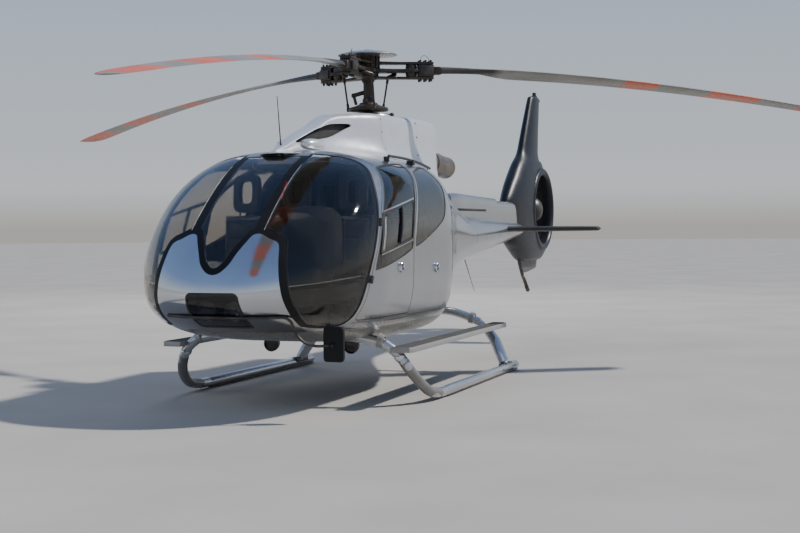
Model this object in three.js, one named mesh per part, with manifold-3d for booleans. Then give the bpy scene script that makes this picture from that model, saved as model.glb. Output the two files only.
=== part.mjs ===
// A light single-engine helicopter with a wide glazed cabin, a three-blade main rotor,
// a fan set in the tail fin and tubular skids. Millimetres, +X to the nose, +Y to port, +Z up.
// Every dimension below is measured from the mast axis (X), the centre plane (Y) and the ground (Z).
import * as THREE from 'three';
import { mergeVertices } from 'three/addons/utils/BufferGeometryUtils.js';
import Module from 'manifold-3d';

const wasm = await Module();
wasm.setup();

// Driving dimensions of the cabin and fuselage skin
const GAP = 0.3;
const WALL = 40;
const GLASS_DEPTH = 4;
const GLASS_THICKNESS = 10;
const SEAM = 6;
const RING_POINTS = 28;
const NOSE_X = 3418;
const NOSE_Z = 1027;
const CABIN_HALF_WIDTH = 1060;
const CABIN_REAR_X = 420;
const ROOF_Z = 2226;
const BELLY_Z = 514;
const WIDEST_Z = 1412;
const FLOOR_Z = 700;
const DOOR_TOP_Y = 720;

// Driving dimensions of the rotors, tail and skids
const MAST_PIVOT_Z = 2720;
const MAST_TILT = THREE.MathUtils.degToRad(1.5);
const ROTOR_RADIUS = 5345;
const BLADE_CHORD = 350;
const BLADE_ROOT_R = 690;
const HUB_Z = 3140 - MAST_PIVOT_Z;
const FAN_X = -6550;
const FAN_Z = 1790;
const DUCT_RADIUS = 500;
const FAN_BLADES = 10;
const SKID_Y = 1205;
const SKID_RADIUS = 45;
const SKID_Z = 57;
const FRONT_TUBE_X = 1980;
const REAR_TUBE_X = -970;

// The overall box's middle, so that the model stands centred on its own origin
const BOX_MIDDLE_X = -950.404;
const BOX_MIDDLE_Y = -179.451;

const COLOURS = {
  silver: [0xb9bcc0, 0.32, 0.75],
  cowl: [0xdcdee0, 0.4, 0.35],
  black: [0x111214, 0.35, 0.1],
  glass: [0x15181b, 0.06, 0.0],
  darkBlue: [0x27303c, 0.45, 0.2],
  darkMetal: [0x2b2c2e, 0.5, 0.6],
  blade: [0x55564f, 0.55, 0.1],
  exhaust: [0x8a7a66, 0.45, 0.9],
  interior: [0x26272a, 0.8, 0.0],
  seat: [0x35363a, 0.9, 0.0],
  brown: [0x3a2420, 0.6, 0.2],
  engine: [0x6a6c70, 0.6, 0.7],
};

const model = new THREE.Group();

// Solids in and out of manifold
function solid(source) {
  const bare = source.clone();
  bare.deleteAttribute('normal');
  bare.deleteAttribute('uv');
  const merged = mergeVertices(bare, 1e-3);
  return new wasm.Manifold(new wasm.Mesh({
    numProp: 3,
    vertProperties: new Float32Array(merged.attributes.position.array),
    triVerts: new Uint32Array(merged.index.array),
  }));
}

function geometryOf(body) {
  const mesh = body.getMesh();
  const geometry = new THREE.BufferGeometry();
  geometry.setAttribute('position', new THREE.BufferAttribute(new Float32Array(mesh.vertProperties), 3));
  geometry.setIndex(new THREE.BufferAttribute(new Uint32Array(mesh.triVerts), 1));
  geometry.computeVertexNormals();
  return geometry;
}

function addMesh(name, body, colour, parent = model) {
  const [color, roughness, metalness] = COLOURS[colour];
  const material = new THREE.MeshStandardMaterial({ color, roughness, metalness });
  const mesh = new THREE.Mesh(geometryOf(body), material);
  mesh.name = name;
  parent.add(mesh);
  return mesh;
}

function joined(bodies) {
  return bodies.reduce((sum, body) => sum.add(body));
}

// A closed skin through rings of equal point counts, capped at both ends
function loft(rings) {
  const count = rings[0].length;
  const points = rings.flat();
  const triangles = [];
  for (let i = 0; i + 1 < rings.length; i++) {
    for (let j = 0; j < count; j++) {
      const a = i * count + j;
      const b = i * count + (j + 1) % count;
      triangles.push(a, b, a + count, b, b + count, a + count);
    }
  }
  const last = (rings.length - 1) * count;
  for (let j = 1; j + 1 < count; j++) {
    triangles.push(0, j + 1, j, last, last + j, last + j + 1);
  }
  let volume = 0;
  for (let t = 0; t < triangles.length; t += 3) {
    const [p, q, r] = [0, 1, 2].map((k) => points[triangles[t + k]]);
    volume += p.dot(q.clone().cross(r));
  }
  if (volume < 0) triangles.reverse();
  const geometry = new THREE.BufferGeometry().setFromPoints(points);
  geometry.setIndex(triangles);
  return solid(geometry);
}

// A ruled solid through rings that follow one flat outline of any shape
function sweptRings(outline, rings) {
  const count = outline.length;
  const last = (rings.length - 1) * count;
  const flat = outline.map(([u, v]) => new THREE.Vector2(u, v));
  const turn = THREE.ShapeUtils.area(flat) > 0 ? 1 : -1;
  const triangles = [];
  for (const [a, b, c] of THREE.ShapeUtils.triangulateShape(flat, [])) {
    triangles.push(a, b, c, last + c, last + b, last + a);
  }
  for (let i = 0; i < last; i++) {
    const j = i - i % count + (i + 1) % count;
    const side = [i, count + i, j, j, count + i, count + j];
    triangles.push(...(turn > 0 ? side : side.reverse()));
  }
  const geometry = new THREE.BufferGeometry().setFromPoints(rings.flat());
  geometry.setIndex(triangles);
  return solid(geometry);
}

// Prisms of an outline: seen from the side (x, z), from the front (y, z) and from above (x, y)
function prism(outline, depth, basis, start) {
  const shape = new THREE.Shape(outline.map(([u, v]) => new THREE.Vector2(u, v)));
  const geometry = new THREE.ExtrudeGeometry(shape, { depth, bevelEnabled: false });
  geometry.applyMatrix4(basis);
  geometry.translate(start.x, start.y, start.z);
  return solid(geometry);
}

const AXIS = { x: new THREE.Vector3(1, 0, 0), y: new THREE.Vector3(0, 1, 0), z: new THREE.Vector3(0, 0, 1) };
const SIDE_BASIS = new THREE.Matrix4().makeBasis(AXIS.x, AXIS.z, AXIS.y.clone().negate());
const FRONT_BASIS = new THREE.Matrix4().makeBasis(AXIS.y, AXIS.z, AXIS.x);
const PLAN_BASIS = new THREE.Matrix4();

function sidePrism(outline, y0, y1) {
  return prism(outline, y1 - y0, SIDE_BASIS, new THREE.Vector3(0, y1, 0));
}

function frontPrism(outline, x0, x1) {
  return prism(outline, x1 - x0, FRONT_BASIS, new THREE.Vector3(x0, 0, 0));
}

function planPrism(outline, z0, z1) {
  return prism(outline, z1 - z0, PLAN_BASIS, new THREE.Vector3(0, 0, z0));
}

function box(low, high) {
  const geometry = new THREE.BoxGeometry(...high.map((value, k) => value - low[k]));
  geometry.translate(...high.map((value, k) => (value + low[k]) / 2));
  return solid(geometry);
}

function cylinder(radius, start, end, sides = 16, endRadius = radius) {
  const from = new THREE.Vector3(...start);
  const to = new THREE.Vector3(...end);
  const geometry = new THREE.CylinderGeometry(endRadius, radius, from.distanceTo(to), sides);
  const turn = new THREE.Quaternion().setFromUnitVectors(AXIS.y, to.clone().sub(from).normalize());
  geometry.applyQuaternion(turn);
  geometry.translate(...from.add(to).multiplyScalar(0.5).toArray());
  return solid(geometry);
}

function tube(points, radius, sides = 10, steps = 24) {
  const curve = new THREE.CatmullRomCurve3(points.map((p) => new THREE.Vector3(...p)), false, 'centripetal');
  const section = new THREE.Shape();
  for (let j = 0; j < sides; j++) {
    const angle = (j + 0.5) * 2 * Math.PI / sides;
    const [u, v] = [radius * Math.cos(angle), radius * Math.sin(angle)];
    if (j === 0) section.moveTo(u, v);
    else section.lineTo(u, v);
  }
  return solid(new THREE.ExtrudeGeometry(section, { steps, extrudePath: curve, bevelEnabled: false }));
}

// A polygon moved inwards by a distance, or outwards when the distance is negative
function inset(outline, distance) {
  const points = outline.map(([u, v]) => new THREE.Vector2(u, v));
  const turn = THREE.ShapeUtils.area(points) > 0 ? 1 : -1;
  return points.map((point, i) => {
    const before = points[(i + points.length - 1) % points.length];
    const after = points[(i + 1) % points.length];
    const e1 = point.clone().sub(before).normalize();
    const e2 = after.clone().sub(point).normalize();
    const n1 = new THREE.Vector2(-e1.y, e1.x).multiplyScalar(turn);
    const n2 = new THREE.Vector2(-e2.y, e2.x).multiplyScalar(turn);
    const reach = distance / Math.max(0.35, 1 + n1.dot(n2));
    return [point.x + (n1.x + n2.x) * reach, point.y + (n1.y + n2.y) * reach];
  });
}

const mirrored = (outline) => outline.map(([u, v]) => [-u, v]).reverse();

function mirrorY(body) {
  const geometry = geometryOf(body);
  geometry.scale(1, -1, 1);
  geometry.setIndex(Array.from(geometry.index.array).reverse());
  return solid(geometry);
}

// The fuselage skin: superellipse sections along X, moved inwards by a depth
const clamp = THREE.MathUtils.clamp;
const lerp = THREE.MathUtils.lerp;

// Aft of the cabin formula: x, half-width, top z, bottom z, widest z, top power, bottom power
const AFT_SECTIONS = [
  [-2750, 283, 1712, 1098, 1405, 2.1, 2.1],
  [-2300, 300, 1860, 985, 1405, 2.3, 2.3],
  [-1800, 355, 2020, 820, 1400, 2.5, 2.6],
  [-1300, 475, 2140, 680, 1395, 2.7, 3.0],
  [-800, 630, 2200, 580, 1390, 2.85, 3.5],
  [-350, 775, 2220, 530, 1395, 3.0, 3.8],
  [100, 904, 2226, 514, 1412, 3.117, 4.026],
];
const JOINT_X = 100;
const WAIST = { x: 698, drop: 156 };
const NOSE_DIP = 47;

function noseTaper(x, start, power, depth) {
  const along = clamp((x - start) / (NOSE_X - depth - start), 0, 1);
  return Math.pow(1 - Math.pow(along, power), 1 / power);
}

function skinSection(x, depth) {
  if (x < JOINT_X) {
    const upper = AFT_SECTIONS.findIndex((row) => row[0] >= x);
    const [low, high] = [AFT_SECTIONS[Math.max(0, upper - 1)], AFT_SECTIONS[upper]];
    const t = high === low ? 0 : (x - low[0]) / (high[0] - low[0]);
    const [, width, top, bottom, widest, topPower, bottomPower] = low.map((value, k) => lerp(value, high[k], t));
    return { width: width - depth, top: top - depth, bottom: bottom + depth, widest, topPower, bottomPower };
  }
  const waist = WAIST.drop * Math.pow(Math.max(WAIST.x - x, 0) / (WAIST.x - JOINT_X), 2);
  const width = (CABIN_HALF_WIDTH - depth) * noseTaper(x, 2156, 2.275, depth) - waist;
  const along = clamp((x - 1900) / (NOSE_X - 1900), 0, 1);
  const dip = NOSE_DIP * Math.pow(Math.sin(Math.PI * Math.pow(along, 1.6)), 2);
  const top = NOSE_Z + (ROOF_Z - depth - NOSE_Z) * noseTaper(x, 1903, 1.594, depth) - dip;
  const bottom = NOSE_Z - (NOSE_Z - BELLY_Z - depth) * noseTaper(x, 1020, 2.295, depth);
  const s = clamp((x - 1500) / (NOSE_X - depth - 1500), 0, 1);
  return {
    width, top, bottom,
    widest: clamp(lerp(WIDEST_Z, NOSE_Z, s), bottom, Math.max(top, bottom)),
    topPower: lerp(3.117, 2, Math.pow(s, 1.56)),
    bottomPower: lerp(4.026, 2, s * s),
  };
}

function skinRing(x, depth, count = RING_POINTS) {
  const s = skinSection(x, depth);
  const ring = [];
  for (let j = 0; j < count; j++) {
    const angle = (j + 0.5) * 2 * Math.PI / count;
    const [c, v] = [Math.cos(angle), Math.sin(angle)];
    const power = v > 0 ? s.topPower : s.bottomPower;
    const height = v > 0 ? s.top - s.widest : s.widest - s.bottom;
    const y = s.width * Math.sign(c) * Math.pow(Math.abs(c), 2 / power);
    const z = s.widest + height * Math.sign(v) * Math.pow(Math.abs(v), 2 / power);
    ring.push(new THREE.Vector3(x, y, z));
  }
  return ring;
}

// The skin's y on the port side at a place seen from the side, and the way out of the skin there
function skinY(x, z) {
  const s = skinSection(x, 0);
  const [height, power] = z > s.widest ? [s.top - s.widest, s.topPower] : [s.widest - s.bottom, s.bottomPower];
  const rise = Math.min(1, Math.abs(z - s.widest) / height);
  return s.width * Math.pow(1 - Math.pow(rise, power), 1 / power);
}

function skinOut(x, z) {
  const y = skinY(x, z);
  return new THREE.Vector3(y - skinY(x + 1, z), 1, y - skinY(x, z + 1)).normalize();
}

// Stations along X; those ahead of the cabin's rear end close on a small ring at the nose
const CABIN_STATIONS = [900, 1450, 1850, 2130, 2390, 2620, 2820, 2990, 3135, 3250, 3330, 3385];
const REAR_STATIONS = [-2300, -1800, -1300, -800, -350, 100];

function cabinSkin(depth, rearX) {
  const scale = (NOSE_X - depth - rearX) / (NOSE_X - rearX);
  const middle = CABIN_STATIONS.map((x) => rearX + (x - rearX) * scale);
  const stations = [rearX, ...middle, NOSE_X - depth - 2];
  return loft(stations.map((x) => skinRing(x, depth)));
}

function rearSkin(depth, rearX, frontX) {
  const stations = [rearX, ...REAR_STATIONS.filter((x) => x > rearX + 20 && x < frontX - 20), frontX];
  return loft(stations.map((x) => skinRing(x, depth)));
}

// Outlines seen from the side (x, z): the front glazing, the doors and their windows
const WINDSHIELD_ZONE = [
  [2118, 2500], [2112, 2190], [2079, 2161], [2036, 2122], [2060, 2043], [2162, 1927], [2266, 1778], [2372, 1596],
  [2466, 1417], [2551, 1241], [2628, 1067], [2677, 910], [2693, 805], [2733, 744], [2790, FLOOR_Z + GAP],
  [3600, FLOOR_Z + GAP], [3600, 2500],
];
const SILL_Z = 785;
const DOOR_PARTING = [
  [1100, 2400], [1105, 2105], [1200, 2030], [1330, 1930], [1460, 1790], [1560, 1620], [1605, 1460], [1628, 1330],
  [1630, SILL_Z],
];
const FRONT_DOOR = [
  [1940, 2400], [1948, 2085], [2032, 1961], [2202, 1788], [2338, 1611], [2423, 1437], [2511, 1265], [2576, 1118],
  [2630, 950], [2655, 825], [2620, SILL_Z], ...DOOR_PARTING.slice().reverse(),
];
const SLIDE_DOOR = [...DOOR_PARTING, [500, 765], [470, 800], [462, 1900], [520, 2110], [530, 2400]];
const FRONT_WINDOW = [
  [1935, 2052], [1813, 2079], [1408, 2122], [1150, 2124], [1286, 1984], [1437, 1865], [1553, 1690],
  [1621, 1489], [1660, 1358], [1889, 1297], [2198, 1239], [2495, 1192], [2438, 1344], [2342, 1552], [2218, 1729],
  [2057, 1911],
];
const SLIDE_WINDOW = [
  [1045, 2058], [620, 2120], [540, 1940], [621, 1817], [727, 1655], [832, 1589], [1049, 1511], [1291, 1436],
  [1575, 1366], [1545, 1489], [1480, 1665], [1370, 1840], [1230, 1962],
];

// Outlines seen from the front (y, z): half of the nose panel, the landing-light window, the centre pane
const NOSE_PANEL_HALF = [
  [59, 1193], [125, 1257], [169, 1346], [219, 1436], [254, 1490], [313, 1498], [393, 1460], [474, 1419],
  [504, 1295], [530, 1147], [550, 1018], [567, 906], [578, 785], [580, FLOOR_Z - 10],
];
const NOSE_PANEL = [...NOSE_PANEL_HALF, ...mirrored(NOSE_PANEL_HALF)];
const FRAME_BAND = 55;
const OUTER_BAND = 20;
const LIGHT_WINDOW_HALF = [[215, 745], [240, 789], [237, 909], [228, 1005], [200, 1035]];
const LIGHT_WINDOW = [...LIGHT_WINDOW_HALF, ...mirrored(LIGHT_WINDOW_HALF)];
const BAR_INNER_Y = 250;
const BAR_OUTER_Y = 328;
const CENTRE_PANE_REAR_X = 2214;

// Hinges of three knuckles on one pin line: the middle knuckle goes with the door, the outer two stay.
// u runs along the pin, v towards the door, w out of the skin
const HINGE = { radius: 11, half: 33, knuckle: 11, leaf: 36, seamReach: 13, deep: -30, clear: 4 };

function hinge(place, along, towardsDoor) {
  const out = skinOut(place.x, place.z);
  out.addScaledVector(along, -out.dot(along)).normalize();
  const across = new THREE.Vector3().crossVectors(out, along);
  if (across.dot(towardsDoor) < 0) across.negate();
  const pin = across.clone().cross(out);
  const frame = new THREE.Matrix4().makeBasis(pin, across, out).setPosition(place);
  const placed = (body) => {
    const geometry = geometryOf(body);
    geometry.applyMatrix4(frame);
    return solid(geometry);
  };
  const barrel = (u0, u1, radius) => cylinder(radius, [u0, 0, 0], [u1, 0, 0], 8);
  const { radius, half, knuckle, leaf, seamReach, deep, clear } = HINGE;
  const moving = barrel(GAP - knuckle, knuckle - GAP, radius)
    .add(box([GAP - knuckle, 0, -8], [knuckle - GAP, leaf, 2]))
    .add(box([GAP - knuckle, seamReach, deep], [knuckle - GAP, leaf, 0]));
  const fixed = [[-half, -knuckle], [knuckle, half]].map(([u0, u1]) => barrel(u0, u1, radius)
    .add(box([u0, -20, deep], [u1, 0, 2])));
  return {
    moving: placed(moving),
    fixed: placed(joined(fixed)),
    movingKeepOut: placed(box([-knuckle, -radius - clear, -radius - clear], [knuckle, leaf, radius + clear])),
    fixedKeepOut: placed(box([-half - clear, -radius, -radius - clear], [GAP - knuckle, radius + clear, radius])
      .add(box([knuckle - GAP, -radius, -radius - clear], [half + clear, radius + clear, radius]))),
  };
}

// The front door's hinge line, with a hinge at each end of the stretch that shows
const DOOR_AXIS = {
  at: new THREE.Vector3(2352, 1034, 1588),
  along: new THREE.Vector3(0.43492, 0.00383, -0.90047).normalize(),
};
const DOOR_HINGE_REACH = [0, 522];
const doorHinges = DOOR_HINGE_REACH.map((reach) => hinge(
  DOOR_AXIS.at.clone().addScaledVector(DOOR_AXIS.along, reach), DOOR_AXIS.along, AXIS.x.clone().negate()));

// The way a point of the front door's rear or lower edge first moves, in x and z for each unit of y
function swingSlope(x, z) {
  const arm = new THREE.Vector3(x, Math.max(skinY(x, z), DOOR_TOP_Y), z).sub(DOOR_AXIS.at);
  const swing = DOOR_AXIS.along.clone().cross(arm);
  return [swing.x / swing.y, swing.z / swing.y];
}

// The space the front door can leave by: its rear and lower edges are cut along the way it swings
const SWING_REACH = { inner: -110, outer: 20, innerY: 600, outerY: 1300 };
const SWING_SILL_X = [2620, 2590, 2560, 2520, 2480, 2430, 2380, 2290, 2150, 1900];
function swingSpace() {
  const sillZ = SILL_Z + SEAM;
  const rear = DOOR_PARTING.slice(1, -1).map(([x, z]) => {
    const widened = z > 1700 ? 9 : 3;
    return { x: x + SEAM + widened, z, slope: swingSlope(x, z) };
  });
  const top = { x: rear[0].x, z: 2400, slope: swingSlope(rear[0].x, 2150) };
  const sill = SWING_SILL_X.map((x) => {
    const z = sillZ + 14 * clamp((x - 2380) / 240, 0, 1);
    return { x, z, slope: swingSlope(x, z) };
  });
  const points = [
    { x: 2900, z: 2400, slope: [0, 0] }, { x: 2900, z: sill[0].z, slope: [0, sill[0].slope[1]] }, ...sill,
    { x: 1630 + SEAM + 1, z: sillZ, slope: [0, 0] }, ...rear.slice().reverse(), top,
  ];
  const ring = (reach, ringY) => points.map(({ x, z, slope }) => {
    const y = ringY ?? Math.max(skinY(x, z), DOOR_TOP_Y) + reach;
    return new THREE.Vector3(x + slope[0] * reach, y, z + slope[1] * reach);
  });
  const { inner, outer, innerY, outerY } = SWING_REACH;
  const rings = [ring(inner, innerY), ring(inner), ring(outer), ring(outer, outerY)];
  return sweptRings(points.map(({ x, z }) => [x, z]), rings);
}

// The cabin: hollow shell, belly, nose, glazing and doors
const outerCabin = cabinSkin(0, CABIN_REAR_X);
const innerCabin = cabinSkin(WALL, CABIN_REAR_X + 50);
const aboveFloor = box([-4000, -2000, FLOOR_Z + GAP], [4000, 2000, 4000]);
const belowFloor = box([-4000, -2000, 0], [4000, 2000, FLOOR_Z]);
const wall = outerCabin.subtract(innerCabin).intersect(aboveFloor);
const glassSkin = cabinSkin(GLASS_DEPTH, CABIN_REAR_X).subtract(
  cabinSkin(GLASS_DEPTH + GLASS_THICKNESS, CABIN_REAR_X + 20));

// The glazing's outline reaches less far back in the middle, over the centre pane
const CENTRE_ZONE = { halfWidth: 300, rearX: 2190 };
function glazingZone(grow) {
  const reach = CENTRE_ZONE.halfWidth - grow;
  return sidePrism(inset(WINDSHIELD_ZONE, -grow), -2000, 2000)
    .subtract(box([0, -reach, 1500], [CENTRE_ZONE.rearX - grow, reach, 3000]));
}

function paneHole(grow) {
  const side = sidePrism(inset(WINDSHIELD_ZONE, OUTER_BAND - grow), -2000, 2000);
  const edge = BAR_OUTER_Y - grow;
  const outboard = frontPrism([[edge, 600], [2000, 600], [2000, 2400], [edge, 2400]], 2000, 3600);
  return side.intersect(outboard).subtract(frontPrism(inset(NOSE_PANEL, -FRAME_BAND + grow), 2400, 3600));
}

function centreHole(grow) {
  const edge = BAR_INNER_Y + grow;
  const front = frontPrism([[-edge, 1100], [edge, 1100], [edge, 2400], [-edge, 2400]],
    CENTRE_PANE_REAR_X - grow, 3600);
  return front.subtract(frontPrism(inset(NOSE_PANEL, -FRAME_BAND + grow), 2200, 3600));
}

const zoneWall = wall.intersect(glazingZone(0));
const nosePrism = frontPrism(NOSE_PANEL, 2400, 3600);
const holeLeft = paneHole(GAP);
const lightHole = frontPrism(LIGHT_WINDOW, 2600, 3600);
addMesh('nose_panel', zoneWall.intersect(nosePrism).subtract(lightHole), 'silver');
addMesh('nose_light_window', glassSkin.intersect(frontPrism(inset(LIGHT_WINDOW, GAP), 2600, 3600)), 'glass');
addMesh('windshield_frame', zoneWall.subtract(frontPrism(inset(NOSE_PANEL, -GAP), 2400, 3600))
  .subtract(holeLeft).subtract(mirrorY(holeLeft)).subtract(centreHole(GAP)), 'black');
const paneLeft = glassSkin.intersect(paneHole(0));
addMesh('windshield_left', paneLeft, 'glass');
addMesh('windshield_right', mirrorY(paneLeft), 'glass');
addMesh('windshield_centre', glassSkin.intersect(centreHole(0)), 'glass');

const FRONT_TUBE_END = [900, 545];
const frontTubePath = (reach) => [
  [FRONT_TUBE_X, -FRONT_TUBE_END[0] - reach, FRONT_TUBE_END[1] - 0.2 * reach],
  [FRONT_TUBE_X, -760, 575], [FRONT_TUBE_X, -500, 600], [FRONT_TUBE_X, 0, 605],
  [FRONT_TUBE_X, 500, 600], [FRONT_TUBE_X, 760, 575],
  [FRONT_TUBE_X, FRONT_TUBE_END[0] + reach, FRONT_TUBE_END[1] - 0.2 * reach],
];
const belly = outerCabin.intersect(belowFloor);
addMesh('cabin_belly', belly.subtract(tube(frontTubePath(0), SKID_RADIUS + GAP, 8, 12)), 'silver');

const doorOpenings = joined([
  sidePrism(FRONT_DOOR, DOOR_TOP_Y, 2000), sidePrism(SLIDE_DOOR, DOOR_TOP_Y, 2000),
]);
const cabinShell = wall.subtract(glazingZone(GAP))
  .subtract(doorOpenings).subtract(mirrorY(doorOpenings));
const movingKeepOut = joined(doorHinges.map((part) => part.movingKeepOut));
const fixedHinges = joined(doorHinges.map((part) => part.fixed));
addMesh('cabin_shell', cabinShell.subtract(movingKeepOut).subtract(mirrorY(movingKeepOut))
  .add(fixedHinges).add(mirrorY(fixedHinges)), 'silver');

// The sliding door stays shut, so it lies close in its opening; the front door has a seam to swing through
const frontPanel = wall.intersect(sidePrism(inset(FRONT_DOOR, SEAM), DOOR_TOP_Y + SEAM, 2000))
  .intersect(swingSpace())
  .subtract(joined(doorHinges.map((part) => part.fixedKeepOut)))
  .add(joined(doorHinges.map((part) => part.moving)));
const slidePanel = wall.intersect(sidePrism(inset(SLIDE_DOOR, GAP), DOOR_TOP_Y + GAP, 2000));
for (const [kind, blank, window] of [['front', frontPanel, FRONT_WINDOW], ['slide', slidePanel, SLIDE_WINDOW]]) {
  const panel = blank.subtract(sidePrism(window, 0, 2000));
  const pane = glassSkin.intersect(sidePrism(inset(window, GAP), DOOR_TOP_Y + SEAM, 2000));
  addMesh(`door_${kind}_left`, panel, 'silver');
  addMesh(`door_${kind}_right`, mirrorY(panel), 'silver');
  addMesh(`door_${kind}_window_left`, pane, 'glass');
  addMesh(`door_${kind}_window_right`, mirrorY(pane), 'glass');
}

// The rails that carry the sliding doors along the roof's edge
const fuselageCut = rearSkin(-GAP, -2750, CABIN_REAR_X).add(cabinSkin(-GAP, CABIN_REAR_X - 5));
const railPath = [[1420, 752, 2194], [1000, 752, 2190], [560, 735, 2170], [130, 700, 2152]];
const RAIL_FEET = [[1385, 740, 2194], [777, 735, 2180], [180, 690, 2154]];
const railFeet = RAIL_FEET.map(([x, y, z]) => box([x - 14, y - 60, z - 110], [x + 14, y - 34, z + 4]).add(
  box([x - 14, y - 50, z - 12], [x + 14, y + 12, z + 4])));
const rail = joined([tube(railPath, 16, 6, 6), ...railFeet]).subtract(fuselageCut);
addMesh('door_rail_left', rail, 'darkMetal');
addMesh('door_rail_right', mirrorY(rail), 'darkMetal');

// Cabin fittings that show through the glass
const HOOD = [
  [180, 1240], [240, 1180], [700, 1180], [760, 1240], [760, 1640], [690, 1700], [250, 1700], [180, 1640],
];
const hoodOnPedestal = frontPrism(HOOD, 2480, 2810).add(box([2490, 300, FLOOR_Z + GAP], [2780, 640, 1200]));
addMesh('instrument_panel', hoodOnPedestal.intersect(cabinSkin(WALL + 12, CABIN_REAR_X)), 'interior');

// Seats: x of the front edge, y of each side
const SEAT_HEIGHT = 330;
const SEAT_DEPTH = 480;
const SEAT_PROFILE = [
  [0, 0], [0, SEAT_HEIGHT - 60], [-20, SEAT_HEIGHT], [-SEAT_DEPTH + 30, SEAT_HEIGHT - 30],
  [-SEAT_DEPTH - 65, SEAT_HEIGHT + 960], [-SEAT_DEPTH - 175, SEAT_HEIGHT + 960],
  [-SEAT_DEPTH - 110, SEAT_HEIGHT - 130], [-SEAT_DEPTH - 20, 0],
];
const SEATS = [
  ['seat_pilot', 2330, 290, 770],
  ['seat_front_pair', 2330, -770, 210],
  ['seat_rear_bench', 1160, -815, 815],
];
for (const [name, frontX, y0, y1] of SEATS) {
  const profile = SEAT_PROFILE.map(([x, z]) => [frontX + x, FLOOR_Z + GAP + z]);
  addMesh(name, sidePrism(profile, y0, y1), 'seat');
}

// The rear fuselage with a baggage hold and its lid on each side
const HOLD = { rearX: -2250, frontX: 310, bottomZ: 860, topZ: 1980 };
const HOLD_LID = [[230, 960], [230, 1740], [-620, 1740], [-620, 960]];
const rearOuter = rearSkin(0, -2750, CABIN_REAR_X - GAP);
const rearInner = rearSkin(WALL, -2700, CABIN_REAR_X - GAP - 30);
const hold = rearInner.intersect(box([HOLD.rearX, -1200, HOLD.bottomZ], [HOLD.frontX, 1200, HOLD.topZ]));
// Each lid is hinged along its upper edge; its edges are cut square to that slanted hinge line
const LID_SLOPE = 0.32;
const LID_AXIS = {
  at: new THREE.Vector3(-200, 814, 1740),
  along: new THREE.Vector3(1, LID_SLOPE, 0).normalize(),
};
const LID_HINGE_REACH = [-368, 390];
const LID_MIDDLE_Y = 814;
function lidPrism(outline) {
  const geometry = geometryOf(sidePrism(outline, 400, 1300));
  geometry.translate(0, -LID_MIDDLE_Y, 0);
  geometry.applyMatrix4(new THREE.Matrix4().makeShear(0, 0, -LID_SLOPE, 0, 0, 0));
  geometry.translate(0, LID_MIDDLE_Y, 0);
  return solid(geometry);
}
const lidHinges = LID_HINGE_REACH.map((reach) => hinge(
  LID_AXIS.at.clone().addScaledVector(LID_AXIS.along, reach), LID_AXIS.along, AXIS.z.clone().negate()));
const lidHole = lidPrism(HOLD_LID).add(joined(lidHinges.map((part) => part.movingKeepOut)));
const lidFixed = joined(lidHinges.map((part) => part.fixed));
const lid = rearOuter.subtract(rearInner).intersect(lidPrism(inset(HOLD_LID, SEAM)))
  .subtract(joined(lidHinges.map((part) => part.fixedKeepOut)))
  .add(joined(lidHinges.map((part) => part.moving)));
const rearTubePath = [
  [REAR_TUBE_X, -860, 530], [REAR_TUBE_X, -700, 595], [REAR_TUBE_X, -480, 640], [REAR_TUBE_X, 0, 648],
  [REAR_TUBE_X, 480, 640], [REAR_TUBE_X, 700, 595], [REAR_TUBE_X, 860, 530],
];
const rearBody = rearOuter.subtract(tube(rearTubePath, SKID_RADIUS + GAP, 8, 12))
  .subtract(hold).subtract(lidHole).subtract(mirrorY(lidHole)).add(lidFixed).add(mirrorY(lidFixed));
addMesh('rear_fuselage', rearBody, 'silver');
addMesh('baggage_lid_left', lid, 'silver');
addMesh('baggage_lid_right', mirrorY(lid), 'silver');

// The cowling over the engine and gearbox: x, half-width of the upper part, half-width of the foot, top z
const COWL_SECTIONS = [
  [2230, 43, 95, 2212], [2050, 58, 260, 2283], [1860, 74, 400, 2352], [1650, 86, 500, 2422], [1430, 96, 570, 2488],
  [1240, 104, 600, 2560], [1070, 138, 615, 2604], [760, 240, 615, 2644], [510, 330, 580, 2664], [0, 360, 500, 2672],
  [-420, 370, 470, 2670], [-1000, 385, 460, 2665],
];
const COWL_SUNK = 80;
const COWL_WALL = 30;
const COWL_SEAMS = [510, -420];

// The concave lower part of a side: share of the spread, share of the height
const COWL_FLARE = [[1, 0], [0.55, 0.07], [0.2, 0.24], [0.03, 0.5]];

function roofZ(x, y) {
  const s = skinSection(x, 0);
  const rise = Math.pow(1 - Math.pow(y / s.width, s.topPower), 1 / s.topPower);
  return s.widest + (s.top - s.widest) * rise;
}

function cowlRing([x, halfWidth, foot, top], depth) {
  const [w, t] = [halfWidth - depth, top - depth];
  const spread = foot - depth - w;
  const low = roofZ(x, foot) - 14;
  const flare = COWL_FLARE.map(([out, up]) => [w + spread * out, lerp(low, t, up)]);
  const side = [[w + spread, low - COWL_SUNK], ...flare, [w * 0.97, lerp(low, t, 0.82)],
    [w * 0.84, lerp(low, t, 0.965)], [w * 0.5, t], [w * 0.15, t + 2]];
  const ring = [...side, ...side.map(([y, z]) => [-y, z]).reverse()];
  return ring.map(([y, z]) => new THREE.Vector3(x, y, z));
}

function cowlBody(depth, trim) {
  const rows = COWL_SECTIONS.filter((row) => row[1] - depth > 12);
  const rings = rows.map((row, i) => {
    const end = i === 0 ? -trim : i === rows.length - 1 ? trim : 0;
    return cowlRing([row[0] + end, ...row.slice(1)], depth);
  });
  return loft(rings.reverse());
}

const INTAKE = [
  [930, 2500], [950, 2527], [1234, 2508], [1421, 2466], [1500, 2448], [1624, 2412], [1780, 2362], [1912, 2320],
  [1930, 2306], [1880, 2300], [1709, 2326], [1407, 2362], [1204, 2398], [979, 2484],
];
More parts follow.
